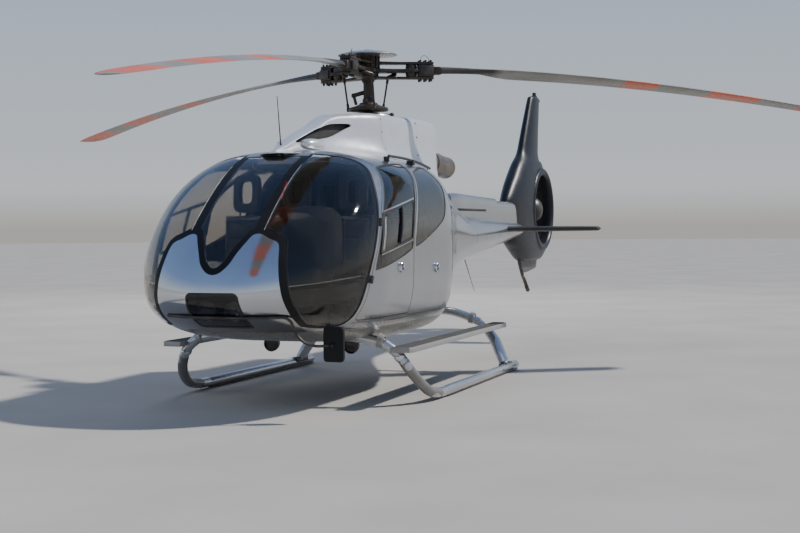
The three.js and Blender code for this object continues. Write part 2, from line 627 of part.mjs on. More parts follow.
// The spine between the two air intakes is solid
const SPINE_HALF_WIDTH = 30;
const spine = box([900, -SPINE_HALF_WIDTH, 2000], [3000, SPINE_HALF_WIDTH, 3000]);
const mastHole = cylinder(215, [0, 0, 2500], [0, 0, 2900], 16);
const intakeHole = sidePrism(INTAKE, SPINE_HALF_WIDTH, 1000);
const cowlHollow = cowlBody(COWL_WALL, COWL_WALL).subtract(spine);
const cowlShell = cowlBody(0, 0).subtract(cowlHollow).subtract(mastHole).subtract(fuselageCut)
  .subtract(intakeHole).subtract(mirrorY(intakeHole));
const cowlSlab = (x0, x1) => box([x0, -2000, 1500], [x1, 2000, 3500]);
addMesh('cowl_front', cowlShell.intersect(cowlSlab(COWL_SEAMS[0] + GAP, 3000)), 'cowl');
addMesh('cowl_middle', cowlShell.intersect(cowlSlab(COWL_SEAMS[1] + GAP, COWL_SEAMS[0])), 'cowl');
const exhaustPipe = (grow) => cylinder(135 + grow, [-930, 0, 2335], [-2490, 0, 2250], 20, 128 + grow);
addMesh('cowl_rear', cowlShell.intersect(cowlSlab(-2000, COWL_SEAMS[1])).subtract(exhaustPipe(GAP)), 'cowl');

// The engine and the main gearbox, each one plain block under the cowling, and the exhaust.
// The gearbox takes the mast in a bore along the mast's tilted axis
const DECK_Z = 2160;
const ENGINE_REAR_X = -940;
const engine = box([ENGINE_REAR_X, -250, DECK_Z], [-330, 250, 2600]);
addMesh('engine_block', engine.subtract(fuselageCut), 'engine');
const mastPoint = (reach) => [reach * Math.sin(MAST_TILT), 0, MAST_PIVOT_Z + reach * Math.cos(MAST_TILT)];
const MAST_RADIUS = 50;
const MAST_CLEARANCE = 0.85;
const MAST_SIDES = 24;
const MAST_FOOT = -150;
const gearbox = cylinder(190, [0, 0, DECK_Z], [0, 0, MAST_PIVOT_Z - 60], 16).add(
  cylinder(120, [0, 0, 2600], [0, 0, MAST_PIVOT_Z - 12], 16));
const mastBore = cylinder(MAST_RADIUS + MAST_CLEARANCE, mastPoint(MAST_FOOT - 10), mastPoint(100), MAST_SIDES);
addMesh('gearbox', gearbox.subtract(fuselageCut).subtract(mastBore), 'darkMetal');
const exhaustBore = cylinder(118, [-1400, 0, 2309.4], [-2590, 0, 2244.6], 20, 116);
addMesh('exhaust', exhaustPipe(0).subtract(exhaustBore).subtract(fuselageCut)
  .subtract(box([ENGINE_REAR_X - GAP, -300, 2100], [0, 300, 2700])), 'exhaust');

// The tail boom, the fairing on it and the stabilizer
// Boom: x, half-width, top z, bottom z
const BOOM_SECTIONS = [
  [-5920, 150, 1605, 1420], [-5130, 175, 1625, 1345], [-3920, 225, 1665, 1210], [-2750 - GAP, 283, 1712, 1098],
];
const BOOM_SIDES = 18;
function boomLoft(grow, openEnd = 0) {
  const rings = BOOM_SECTIONS.map(([x, halfWidth, top, bottom], i) => {
    const middle = (top + bottom) / 2;
    const station = i === 0 ? x - grow : x + (i === BOOM_SECTIONS.length - 1 ? openEnd : 0);
    return Array.from({ length: BOOM_SIDES }, (_, j) => {
      const angle = (j + 0.5) * 2 * Math.PI / BOOM_SIDES;
      const y = (halfWidth + grow) * Math.cos(angle);
      return new THREE.Vector3(station, y, middle + (top - middle + grow) * Math.sin(angle));
    });
  });
  return loft(rings);
}

// Stabilizer: y, leading x, trailing x, half-thickness
const STABILIZER_Z = 1510;
const STABILIZER_SECTIONS = [
  [-1365, -4860, -5040, 18], [-1320, -4800, -5050, 30], [-200, -4590, -5060, 38],
  [200, -4590, -5060, 38], [1320, -4800, -5050, 30], [1365, -4860, -5040, 18],
];
function foil(leadX, trailX, grow) {
  const chord = leadX - trailX;
  return [[leadX + grow, 0], [leadX - chord * 0.12, 0.75], [leadX - chord * 0.35, 1], [leadX - chord * 0.75, 0.6],
    [trailX - grow, 0.12], [trailX - grow, -0.12], [leadX - chord * 0.75, -0.6], [leadX - chord * 0.35, -1],
    [leadX - chord * 0.12, -0.75]];
}
function stabilizerLoft(grow) {
  return loft(STABILIZER_SECTIONS.map(([y, leadX, trailX, thickness]) => foil(leadX, trailX, grow)
    .map(([x, part]) => new THREE.Vector3(x, y, STABILIZER_Z + part * thickness + Math.sign(part) * grow))));
}
addMesh('tail_boom', boomLoft(0).subtract(boomLoft(-25, 50)).subtract(stabilizerLoft(GAP)), 'silver');
addMesh('stabilizer', stabilizerLoft(0), 'black');

// Drive-shaft fairing on the boom: x, half-width, top z
const FAIRING_SECTIONS = [
  [-5760, 60, 1760], [-5700, 95, 1850], [-5500, 115, 1885], [-4340, 118, 1887], [-4300, 120, 1920],
  [-2700, 122, 1955], [-2450, 90, 1940],
];
function fairingLoft(grow) {
  return loft(FAIRING_SECTIONS.map(([x, halfWidth, top], i) => {
    const w = halfWidth + grow;
    const station = x + (i === 0 ? -grow : 0);
    const side = [[w, 1560], [w, top - 50], [w * 0.6, top + grow]];
    return [...side, ...side.map(([y, z]) => [-y, z]).reverse()].map(([y, z]) => new THREE.Vector3(station, y, z));
  }));
}
const fairingHollow = fairingLoft(-22).intersect(box([-5700, -500, 1400], [-2500, 500, 3000]));
addMesh('tail_drive_fairing', fairingLoft(0).subtract(fairingHollow).subtract(boomLoft(GAP)).subtract(fuselageCut),
  'silver');

// The fin and fan shroud in one: z, leading x, trailing x, half-thickness
const FIN_SECTIONS = [
  [1040, -5960, -6720, 60], [1055, -5870, -6810, 100], [1095, -5770, -6900, 140], [1220, -5500, -7060, 185],
  [1360, -5230, -7150, 198], [1600, -5180, -7230, 202], [1790, -5120, -7250, 202], [1910, -5100, -7240, 202],
  [2120, -5300, -7170, 200], [2300, -5520, -7050, 183], [2440, -5700, -6900, 157], [2590, -5920, -6790, 120],
  [2980, -6180, -6840, 95], [3420, -6480, -6940, 70], [3475, -6570, -6940, 40],
];
function finRing([z, leadX, trailX, thickness], grow) {
  const [middle, half] = [(leadX + trailX) / 2, (leadX - trailX) / 2 + grow];
  const low = z < 2500;
  return Array.from({ length: 20 }, (_, j) => {
    const angle = (j + 0.5) * 2 * Math.PI / 20;
    const [c, s] = [Math.cos(angle), Math.sin(angle)];
    const power = c > 0 || !low ? 2.1 : 3.2;
    return new THREE.Vector3(middle + half * Math.sign(c) * Math.pow(Math.abs(c), 2 / power),
      (thickness + grow) * Math.sign(s) * Math.pow(Math.abs(s), 2 / (low && c < 0 ? 3 : 2.1)), z);
  });
}
const finLoft = (grow) => loft(FIN_SECTIONS.map((row) => finRing(row, grow)));
const duct = cylinder(DUCT_RADIUS, [FAN_X, -400, FAN_Z], [FAN_X, 400, FAN_Z], 32);
// The duct's rounded lip stands out all round its two openings
const LIP = { radius: 606, edgeRadius: 568, flatY: 160, edgeY: 206 };
const lip = joined([
  cylinder(LIP.radius, [FAN_X, -LIP.flatY, FAN_Z], [FAN_X, LIP.flatY, FAN_Z], 32),
  cylinder(LIP.radius, [FAN_X, LIP.flatY, FAN_Z], [FAN_X, LIP.edgeY, FAN_Z], 32, LIP.edgeRadius),
  cylinder(LIP.radius, [FAN_X, -LIP.flatY, FAN_Z], [FAN_X, -LIP.edgeY, FAN_Z], 32, LIP.edgeRadius),
]);
const shroud = finLoft(0).add(lip).subtract(duct).subtract(boomLoft(GAP)).subtract(fairingLoft(GAP));
addMesh('fan_shroud', shroud, 'darkBlue');

const FAN_REAR_Y = -40;
const stator = [
  cylinder(120, [FAN_X, -60, FAN_Z], [FAN_X, -190, FAN_Z], 16),
  cylinder(40, [FAN_X, FAN_REAR_Y - GAP, FAN_Z], [FAN_X, -80, FAN_Z], 12),
];
const STATOR_VANES = 8;
for (let i = 0; i < STATOR_VANES; i++) {
  const vane = new THREE.BoxGeometry(DUCT_RADIUS - 100 - 0.5, 70, 22);
  vane.translate((DUCT_RADIUS - 100) / 2 + 100, -140, 0);
  vane.rotateY(i * 2 * Math.PI / STATOR_VANES + 0.2);
  vane.translate(FAN_X, 0, FAN_Z);
  stator.push(solid(vane));
}
addMesh('fan_stator', joined(stator).intersect(
  cylinder(DUCT_RADIUS - GAP, [FAN_X, -300, FAN_Z], [FAN_X, 0, FAN_Z], 32)), 'darkMetal');

// The tail fan: a hub and its blades, turning about Y
const fan = new THREE.Group();
fan.position.set(FAN_X, 0, FAN_Z);
const fanParts = [
  cylinder(182, [0, FAN_REAR_Y, 0], [0, 55, 0], 24),
  cylinder(182, [0, 55, 0], [0, 120, 0], 24, 90),
];
for (let i = 0; i < FAN_BLADES; i++) {
  const blade = new THREE.BoxGeometry(375, 14, 72);
  blade.rotateX(THREE.MathUtils.degToRad(35));
  blade.translate(110 + 375 / 2, 15, 0);
  blade.rotateY(i * 2 * Math.PI / FAN_BLADES);
  fanParts.push(solid(blade));
}
addMesh('tail_fan', joined(fanParts), 'darkMetal', fan);
model.add(fan);

const VENTRAL_FIN = [[-5850, 1200], [-5880, 1050], [-6140, 870], [-6780, 930], [-6830, 1030], [-6800, 1200]];
addMesh('ventral_fin', sidePrism(VENTRAL_FIN, -22, 22).subtract(finLoft(GAP)), 'darkMetal');
const tailSkid = tube([[-5760, 0, 1190], [-5850, 0, 1070], [-6040, 0, 860], [-6360, 0, 605]], 26, 8, 10);
addMesh('tail_skid', tailSkid.subtract(finLoft(GAP))
  .subtract(sidePrism(inset(VENTRAL_FIN, -GAP), -22 - GAP, 22 + GAP)), 'brown');

// Landing gear: each skid tube bends up at the front into the front cross tube
const skidPath = [
  [-1208, SKID_Y, SKID_Z], [1250, SKID_Y, SKID_Z], [1460, 1203, 66], [1620, 1196, 100], [1780, 1165, 190],
  [1880, 1122, 287], [1938, 1070, 386], [1965, 1005, 470],
  [FRONT_TUBE_X, FRONT_TUBE_END[0] - 5, FRONT_TUBE_END[1] + 1],
];
const skidBend = skidPath.slice(1);
const skidTube = (radius) => cylinder(radius, skidPath[0], [skidBend[0][0] + 20, SKID_Y, SKID_Z], 10).add(
  tube(skidBend, radius, 10, 13));
const SHOE = { halfWidth: 28, height: 30 };
const shoe = box([-1150, SKID_Y - SHOE.halfWidth, 0], [1200, SKID_Y + SHOE.halfWidth, SHOE.height]);
const skid = skidTube(SKID_RADIUS).add(shoe).subtract(tube(frontTubePath(3 * GAP), SKID_RADIUS + GAP, 8, 12));
addMesh('skid_left', skid, 'silver');
addMesh('skid_right', mirrorY(skid), 'silver');

addMesh('cross_tube_front', tube(frontTubePath(0), SKID_RADIUS, 8, 12), 'silver');
const rearLegPath = [
  [REAR_TUBE_X, 860, 530], [-960, 955, 450], [-935, 1050, 330], [-890, 1125, 200], [-845, SKID_Y, 60],
];
const FAIRING_CHORD = 250;
const legRings = [[1000, 405], [1062, 325], [1120, 215], [1165, 130]].map(([y, z], i) => {
  const x = [-945, -930, -895, -865][i];
  return Array.from({ length: 12 }, (_, j) => {
    const angle = (j + 0.5) * 2 * Math.PI / 12;
    const across = 48 * Math.sin(angle);
    return new THREE.Vector3(x - 25 + FAIRING_CHORD / 2 * Math.cos(angle), y + across * 0.9, z + across * 0.45);
  });
});
const rearLeg = tube(rearLegPath, SKID_RADIUS, 8, 8).add(loft(legRings));
const skidKeepOut = skidTube(SKID_RADIUS + GAP).add(
  box([-1160, SKID_Y - SHOE.halfWidth - GAP, -50], [1210, SKID_Y + SHOE.halfWidth + GAP, SHOE.height + GAP]));
const rearTube = tube(rearTubePath, SKID_RADIUS, 8, 12).add(rearLeg).add(mirrorY(rearLeg))
  .subtract(skidKeepOut).subtract(mirrorY(skidKeepOut));
addMesh('cross_tube_rear', rearTube, 'silver');

// Boarding steps along each side, carried by the cross tubes
const STEP = [[-1000, 1010], [-1000, 1150], [-930, 1185], [2060, 1205], [2120, 1180], [2120, 1010]];
const stepBlank = planPrism(STEP, 470, 530);
const legKeepOut = tube(rearLegPath, SKID_RADIUS + GAP, 8, 8);
const step = stepBlank.subtract(skidKeepOut).subtract(legKeepOut);
addMesh('step_left', step, 'silver');
addMesh('step_right', mirrorY(step), 'silver');

// Lamps under the belly, mirror, aerials
const LAMP = { x: 1470, y: 400, z: 470, radius: 70 };
const cabinCut = cabinSkin(-2 * GAP, CABIN_REAR_X);
const lamp = cylinder(LAMP.radius, [LAMP.x - 60, LAMP.y, LAMP.z], [LAMP.x + 40, LAMP.y, LAMP.z - 8], 20)
  .add(cylinder(30, [LAMP.x - 20, LAMP.y, LAMP.z], [LAMP.x - 20, LAMP.y, 620], 10)).subtract(cabinCut);
addMesh('belly_lamp_left', lamp, 'black');
addMesh('belly_lamp_right', mirrorY(lamp), 'black');
const mirrorPath = [
  [3205, -500, 840], [3282, -330, 838], [3322, -150, 838], [3331, 0, 838], [3322, 150, 838], [3292, 300, 838],
  [3237, 450, 838], [3190, 530, 838], [3150, 570, 800], [3120, 590, 720], [3100, 650, 645], [3060, 730, 610],
  [3020, 800, 608], [2997, 860, 610],
];
const mirrorBar = tube(mirrorPath, 13, 6, 20);
const mirrorHead = box([2975, 783, 480], [3015, 957, 760]);
addMesh('mirror', mirrorBar.add(mirrorHead).subtract(cabinCut), 'black');
const roofAerial = cylinder(12, [2085, 0, 2200], [2168, 0, 2692], 8, 4);
addMesh('roof_aerial', roofAerial.subtract(cabinCut).subtract(cowlBody(-GAP, GAP)), 'darkMetal');
const boomAerial = cylinder(12, [-3230, 0, 1200], [-3670, 0, 710], 8, 5);
addMesh('boom_aerial', boomAerial.subtract(boomLoft(GAP)), 'darkMetal');

// The main rotor, built upright about its own mast and tilted as one group
const rotor = new THREE.Group();
rotor.position.set(0, 0, MAST_PIVOT_Z);
rotor.rotation.y = MAST_TILT;
model.add(rotor);

// Blades: azimuth in degrees from +X, droop of the tip
const BLADES = [['blade_front', 2.6, 470], ['blade_left', 122, 470], ['blade_right', -116, 510]];
// Blade sections: share of the radius, chord, half-thickness, lead of the nose over the pitch axis, pitch in degrees
const BLADE_SECTIONS = [
  [BLADE_ROOT_R, 90, 34, 45, 12], [900, 95, 30, 48, 12], [1150, 130, 24, 55, 12], [1450, 300, 20, 100, 11],
  [1650, BLADE_CHORD, 18, 110, 10], [3300, BLADE_CHORD, 16, 110, 6], [4950, BLADE_CHORD, 14, 110, 2],
  [5230, 310, 11, 85, 1], [ROTOR_RADIUS, 200, 6, 0, 1],
];
const BLADE_FOIL = [
  [0, 0], [0.06, 0.7], [0.3, 1], [0.65, 0.6], [1, 0.08], [1, -0.08], [0.65, -0.5], [0.3, -0.75], [0.06, -0.5],
];

function bladeBody(azimuth, droop) {
  const turn = new THREE.Matrix4().makeRotationZ(THREE.MathUtils.degToRad(azimuth));
  return loft(BLADE_SECTIONS.map(([r, chord, thickness, lead, pitch]) => {
    const sag = droop * Math.pow((r - BLADE_ROOT_R) / (ROTOR_RADIUS - BLADE_ROOT_R), 1.7);
    const angle = THREE.MathUtils.degToRad(pitch);
    return BLADE_FOIL.map(([along, part]) => {
      const back = lead - along * chord;
      const up = part * thickness;
      const y = -(back * Math.cos(angle) - up * Math.sin(angle));
      const z = HUB_Z - sag + back * Math.sin(angle) + up * Math.cos(angle);
      return new THREE.Vector3(r, y, z).applyMatrix4(turn);
    });
  }));
}

const HUB = { drum: 118, armHalfWidth: 60, armEnd: 680, plateThickness: 26, spread: 75 };
const hubParts = [
  cylinder(HUB.drum, [0, 0, HUB_Z - 60], [0, 0, HUB_Z + 140], 20),
];
for (const [, azimuth] of BLADES) {
  const arm = [
    box([60, -HUB.armHalfWidth, HUB_Z + HUB.spread - HUB.plateThickness / 2],
      [HUB.armEnd, HUB.armHalfWidth, HUB_Z + HUB.spread + HUB.plateThickness / 2]),
    box([60, -HUB.armHalfWidth, HUB_Z - HUB.spread - HUB.plateThickness / 2],
      [HUB.armEnd, HUB.armHalfWidth, HUB_Z - HUB.spread + HUB.plateThickness / 2]),
    box([60, -75, HUB_Z - 22], [520, 75, HUB_Z + 14]),
    box([520, -HUB.armHalfWidth, HUB_Z - HUB.spread], [BLADE_ROOT_R - GAP, HUB.armHalfWidth, HUB_Z + HUB.spread]),
  ];
  const geometry = geometryOf(joined(arm));
  geometry.rotateZ(THREE.MathUtils.degToRad(azimuth));
  hubParts.push(solid(geometry));
}
addMesh('rotor_hub', joined(hubParts), 'darkMetal', rotor);

// The mast with its swashplate and rods
const mastBody = cylinder(MAST_RADIUS, [0, 0, MAST_FOOT], [0, 0, HUB_Z - 60 - GAP], MAST_SIDES);
const swashplate = cylinder(204, [0, 0, 18], [0, 0, 48], 24).add(cylinder(204, [0, 0, 48], [0, 0, 83], 24, 80));
const LUG_Z = 36;
const SWASH_RADIUS = 200;
const rods = [];
for (const [, azimuth] of BLADES) {
  const low = THREE.MathUtils.degToRad(azimuth + 35);
  const high = THREE.MathUtils.degToRad(azimuth + 28);
  const lowPoint = [SWASH_RADIUS * Math.cos(low), SWASH_RADIUS * Math.sin(low), LUG_Z - 12];
  const highPoint = [255 * Math.cos(high), 255 * Math.sin(high), HUB_Z - 60];
  rods.push(cylinder(12, lowPoint, highPoint, 6));
  const [lugStart, lugEnd] = [150, 226].map((r) => [r * Math.cos(low), r * Math.sin(low), LUG_Z]);
  rods.push(cylinder(24, lugStart, lugEnd, 6));
}
addMesh('rotor_mast', joined([mastBody, swashplate, ...rods]), 'darkMetal', rotor);
const CAP_PROFILE = [
  [0, 0], [HUB.drum, 0], [HUB.drum + 40, 14], [296, 10], [305, 14], [230, 38], [120, 56], [0, 62],
];
const cap = new THREE.LatheGeometry(CAP_PROFILE.map(([r, z]) => new THREE.Vector2(r, z)), 32);
cap.rotateX(Math.PI / 2);
cap.translate(0, 0, HUB_Z + 140 + GAP);
addMesh('rotor_cap', solid(cap), 'silver', rotor);
for (const [name, azimuth, droop] of BLADES) {
  addMesh(name, bladeBody(azimuth, droop), 'blade', rotor);
}

model.position.set(-BOX_MIDDLE_X, -BOX_MIDDLE_Y, 0);
export default model;
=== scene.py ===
import logging
import math
from collections.abc import Callable, Iterable, Sequence
from dataclasses import dataclass, field
from enum import Enum

import bmesh
import bpy
from mathutils import Matrix, Vector


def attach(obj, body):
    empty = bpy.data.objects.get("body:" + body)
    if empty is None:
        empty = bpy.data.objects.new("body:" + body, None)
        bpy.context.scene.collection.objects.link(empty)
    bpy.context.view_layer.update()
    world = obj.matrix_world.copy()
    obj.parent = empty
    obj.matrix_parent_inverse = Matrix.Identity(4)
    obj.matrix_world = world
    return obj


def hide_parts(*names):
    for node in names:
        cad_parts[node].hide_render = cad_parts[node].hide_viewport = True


# Looks of a light helicopter with a fan in its tail fin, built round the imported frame. All sizes are metres.
# The sub-assemblies are drawn with X forward from the mast axis, Y to port and Z up from the ground, and
# finish_piece moves each mesh by ROW_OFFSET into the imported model's frame.
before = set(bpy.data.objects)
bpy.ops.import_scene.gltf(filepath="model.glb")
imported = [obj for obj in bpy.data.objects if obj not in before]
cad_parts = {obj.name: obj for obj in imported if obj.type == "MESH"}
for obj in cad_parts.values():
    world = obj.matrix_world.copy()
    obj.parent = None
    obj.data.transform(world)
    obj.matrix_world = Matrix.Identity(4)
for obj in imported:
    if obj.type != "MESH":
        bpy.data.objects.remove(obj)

LOG = logging.getLogger("helicopter")
ROW_OFFSET = Vector((0.950404, 0.179451, 0.0))
GAP = 0.0003
UP = Vector((0, 0, 1))
WELD = 2e-5
SLIVER = 1e-6
SHARPEST_CORNER = 0.35
Colour = tuple[float, float, float]
Outline = Sequence[tuple[float, float]]
Points = list[tuple[float, float]]
Values = Sequence[float]
Table = tuple[tuple[float, ...], ...]
Socket = bpy.types.NodeSocket
Shape = bmesh.types.BMesh


class Carrier(Enum):
    """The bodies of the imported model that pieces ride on."""

    AIRFRAME = "airframe"
    ROTOR = "main_rotor"
    FAN = "fan_rotor"
    DOOR_LEFT = "front_door_left"
    DOOR_RIGHT = "front_door_right"
    LID_LEFT = "hold_lid_left"
    LID_RIGHT = "hold_lid_right"


class Side(Enum):
    """Port and starboard, with the sign of Y on each."""

    LEFT = 1
    RIGHT = -1

    @property
    def word(self) -> str:
        """The side's word in piece names."""
        return self.name.lower()

    def of(self, bm: Shape) -> Shape:
        """A copy of a port shape for this side."""
        return bm.copy() if self is Side.LEFT else mirrored(bm)


FIXED = {side: Carrier.AIRFRAME for side in Side}
DOORS = {Side.LEFT: Carrier.DOOR_LEFT, Side.RIGHT: Carrier.DOOR_RIGHT}
LIDS = {Side.LEFT: Carrier.LID_LEFT, Side.RIGHT: Carrier.LID_RIGHT}


class View(Enum):
    """Where a flat outline is seen from: its two axes, then the axis it is drawn out along."""

    SIDE = (0, 2, 1)
    FRONT = (1, 2, 0)
    PLAN = (0, 1, 2)

    def point(self, u: float, v: float, depth: float) -> Vector:
        """The place of an outline's point at a depth along the third axis.

        Args:
            u: The first of the outline's two numbers.
            v: The second one.
            depth: The place along the third axis.

        Returns:
            The point.
        """
        co = Vector((0.0, 0.0, 0.0))
        for axis, value in zip(self.value, (u, v, depth)):
            co[axis] = value
        return co


class Cut(Enum):
    """How two closed shapes are put together."""

    LESS = "DIFFERENCE"
    SHARED = "INTERSECT"
    MORE = "UNION"


# Shapes


def spline(rows: Sequence[Values], place: float) -> list[float]:
    """Reads a table at a fractional row on a smooth curve through its rows.

    Args:
        rows: The table, each row with the same columns.
        place: The row to read, from 0 to the last row's number.

    Returns:
        One value for each column.
    """
    low = min(int(place), len(rows) - 2)
    t = place - low
    a, b = rows[low], rows[low + 1]
    before, after = rows[max(low - 1, 0)], rows[min(low + 2, len(rows) - 1)]
    values = []
    for p, q, r, s in zip(before, a, b, after):
        values.append(q + 0.5 * t * (r - p + t * (2 * p - 5 * q + 4 * r - s + t * (3 * (q - r) + s - p))))
    return values


def rounded(points: Outline, steps: int = 4, closed: bool = True) -> Points:
    """Draws a smooth outline through measured points.

    Args:
        points: The measured points in order.
        steps: How many points the curve has for each measured one.
        closed: Whether the last point joins the first.

    Returns:
        The points of the smooth outline.
    """
    count = len(points)
    if closed:
        ring = [points[-1], *points, points[0], points[1]]
        made = [spline(ring, 1 + i / steps) for i in range(count * steps)]
    else:
        made = [spline(points, i / steps) for i in range((count - 1) * steps + 1)]
    return [(u, v) for u, v in made]


def inset(outline: Outline, distance: float) -> Points:
    """Moves a closed outline inwards by a distance, or outwards when it is negative.

    Args:
        outline: The outline's points.
        distance: How far it moves.

    Returns:
        The points of the moved outline.
    """
    count = len(outline)
    area = sum(outline[i - 1][0] * outline[i][1] - outline[i][0] * outline[i - 1][1] for i in range(count))
    turn = 1 if area > 0 else -1
    moved = []
    for i, point in enumerate(outline):
        here = Vector(point)
        first = (here - Vector(outline[i - 1])).normalized()
        second = (Vector(outline[(i + 1) % count]) - here).normalized()
        normals = [Vector((-edge.y, edge.x)) * turn for edge in (first, second)]
        reach = distance / max(SHARPEST_CORNER, 1 + normals[0].dot(normals[1]))
        moved.append(tuple(here + (normals[0] + normals[1]) * reach))
    return moved


def halves(half: Outline) -> Points:
    """Closes half an outline with its mirror image across the first axis."""
    return [*half, *((-u, v) for u, v in reversed(half))]


def eased(value: float, power: float) -> float:
    """A sine or cosine moved towards a square corner by a power above 2."""
    return math.copysign(abs(value) ** (2 / power), value)


def turn_to(axis: Vector) -> Matrix:
    """The turn that takes the upward direction to a direction."""
    return UP.rotation_difference(axis).to_matrix().to_4x4()


def mapped_grid(columns: int, rows: int, place: Callable[[float, float], Vector]) -> Shape:
    """Moves the vertices of a grid to a surface, merges its seams and closes its ends.

    Args:
        columns: Grid cells along the first direction.
        rows: Grid cells along the second direction.
        place: Gives the surface point for two numbers from 0 to 1.

    Returns:
        The closed shape, its faces outwards.
    """
    bm = bmesh.new()
    bmesh.ops.create_grid(bm, x_segments=columns, y_segments=rows, size=0.5)
    for vert in bm.verts:
        vert.co = place(vert.co.x + 0.5, vert.co.y + 0.5)
    return closed(bm)


def closed(bm: Shape) -> Shape:
    """Merges doubles, fills open ends and turns the faces outwards.

    Args:
        bm: The shape.

    Returns:
        The same shape.
    """
    bmesh.ops.remove_doubles(bm, verts=bm.verts, dist=WELD)
    bmesh.ops.dissolve_degenerate(bm, edges=bm.edges, dist=SLIVER)
    bmesh.ops.holes_fill(bm, edges=[edge for edge in bm.edges if edge.is_boundary], sides=0)
    bmesh.ops.recalc_face_normals(bm, faces=bm.faces)
    return bm


def prism(outline: Outline, view: View, low: float, high: float) -> Shape:
    """Draws a flat outline out into a solid.

    Args:
        outline: The outline's points.
        view: The direction that the outline is seen from.
        low: Where the solid starts along that direction.
        high: Where it ends.

    Returns:
        The closed shape.
    """
    bm = bmesh.new()
    face = bm.faces.new([bm.verts.new(view.point(u, v, low)) for u, v in outline])
    drawn = bmesh.ops.extrude_face_region(bm, geom=[face])["geom"]
    verts = [item for item in drawn if isinstance(item, bmesh.types.BMVert)]
    bmesh.ops.translate(bm, verts=verts, vec=view.point(0, 0, high - low))
    bmesh.ops.recalc_face_normals(bm, faces=bm.faces)
    return bm


def block(low: Values, high: Values, bevel: float = 0.0, segments: int = 2) -> Shape:
    """A box between two corners, its edges rounded by a bevel.

    Args:
        low: The corner with the lowest values.
        high: The opposite corner.
        bevel: The bevel's width, or 0 for sharp edges.
        segments: The bevel's faces.

    Returns:
        The closed box.
    """
    bm = bmesh.new()
    bmesh.ops.create_cube(bm, size=1.0)
    for vert in bm.verts:
        vert.co = Vector(((vert.co[k] + 0.5) * (high[k] - low[k]) + low[k] for k in range(3)))
    return bevelled(bm, bevel, segments) if bevel else bm


def moved(bm: Shape, matrix: Matrix) -> Shape:
    """A shape after a transform."""
    bmesh.ops.transform(bm, matrix=matrix, verts=bm.verts)
    return bm


def bevelled(bm: Shape, width: float, segments: int = 2, angle: float = 0.5) -> Shape:
    """Rounds the edges that are sharper than an angle in radians.

    Args:
        bm: The shape.
        width: The bevel's width.
        segments: Its faces.
        angle: Edges past this angle are rounded.

    Returns:
        The same shape.
    """
    edges = [edge for edge in bm.edges if edge.is_manifold and edge.calc_face_angle(0.0) > angle]
    bmesh.ops.bevel(bm, geom=edges, offset=width, offset_type="OFFSET", segments=segments, profile=0.5,
                    affect="EDGES", material=-1, clamp_overlap=True)
    return bm


def mirrored(bm: Shape) -> Shape:
    """A copy on the other side of the centre plane, its faces outwards.

    Args:
        bm: The shape, which stays as it is.

    Returns:
        The copy.
    """
    other = bm.copy()
    bmesh.ops.scale(other, verts=other.verts, vec=(1, -1, 1))
    bmesh.ops.reverse_faces(other, faces=other.faces)
    return other


def merged(*parts: Shape) -> Shape:
    """Puts several shapes side by side in one mesh.

    Args:
        parts: The shapes, used up.

    Returns:
        The mesh of all of them.
    """
    whole = bmesh.new()
    for part in parts:
        sheet = bpy.data.meshes.new("part")
        part.to_mesh(sheet)
        part.free()
        whole.from_mesh(sheet)
        bpy.data.meshes.remove(sheet)
    return whole


def combined(first: Shape, second: Shape, cut: Cut) -> Shape:
    """Cuts, joins or intersects two closed shapes. The second is used up, and so is the first.

    Args:
        first: The shape that is worked on.
        second: The shape it is put together with.
        cut: How they are put together.

    Returns:
        The new closed shape.
    """
    holders = []
    for bm in (first, second):
        sheet = bpy.data.meshes.new("operand")
        bm.to_mesh(sheet)
        bm.free()
        holder = bpy.data.objects.new("operand", sheet)
        bpy.context.scene.collection.objects.link(holder)
        holders.append(holder)
    modifier = holders[0].modifiers.new("cut", "BOOLEAN")
    modifier.operation = cut.value
    modifier.solver = "MANIFOLD"
    modifier.object = holders[1]
    depsgraph = bpy.context.evaluated_depsgraph_get()
    result = bmesh.new()
    result.from_mesh(holders[0].evaluated_get(depsgraph).data)
    for holder in holders:
        sheet = holder.data
        bpy.data.objects.remove(holder)
        bpy.data.meshes.remove(sheet)
    return result


def less(shape: Shape, *tools: Shape) -> Shape:
    """Cuts every tool out of a shape.

    Args:
        shape: The shape, used up.
        tools: The shapes to cut out, used up.

    Returns:
        What is left.
    """
    for tool in tools:
        shape = combined(shape, tool, Cut.LESS)
    return shape


def shared(shape: Shape, *tools: Shape) -> Shape:
    """Keeps what a shape has in common with every tool.

    Args:
        shape: The shape, used up.
        tools: The shapes it is intersected with, used up.

    Returns:
        What they share.
    """
    for tool in tools:
        shape = combined(shape, tool, Cut.SHARED)
    return shape


def track(path: Sequence[Values], steps: int) -> list[tuple[Vector, Matrix]]:
    """Points along a smooth curve, each with a frame that turns as little as it can.

    Args:
        path: The points that the curve passes through.
        steps: The number of stretches between the made points.

    Returns:
        Each point with a matrix whose columns are across, over and along the curve.
    """
    points = [Vector(spline(path, i * (len(path) - 1) / steps)) for i in range(steps + 1)]
    along = [(points[min(i + 1, steps)] - points[max(i - 1, 0)]).normalized() for i in range(steps + 1)]
    over = UP if abs(along[0].z) < 0.9 else Vector((1, 0, 0))
    frames = []
    for point, direction in zip(points, along):
        across = direction.cross(over).normalized()
        over = across.cross(direction).normalized()
        frames.append((point, Matrix((across, over, direction)).transposed()))
    return frames


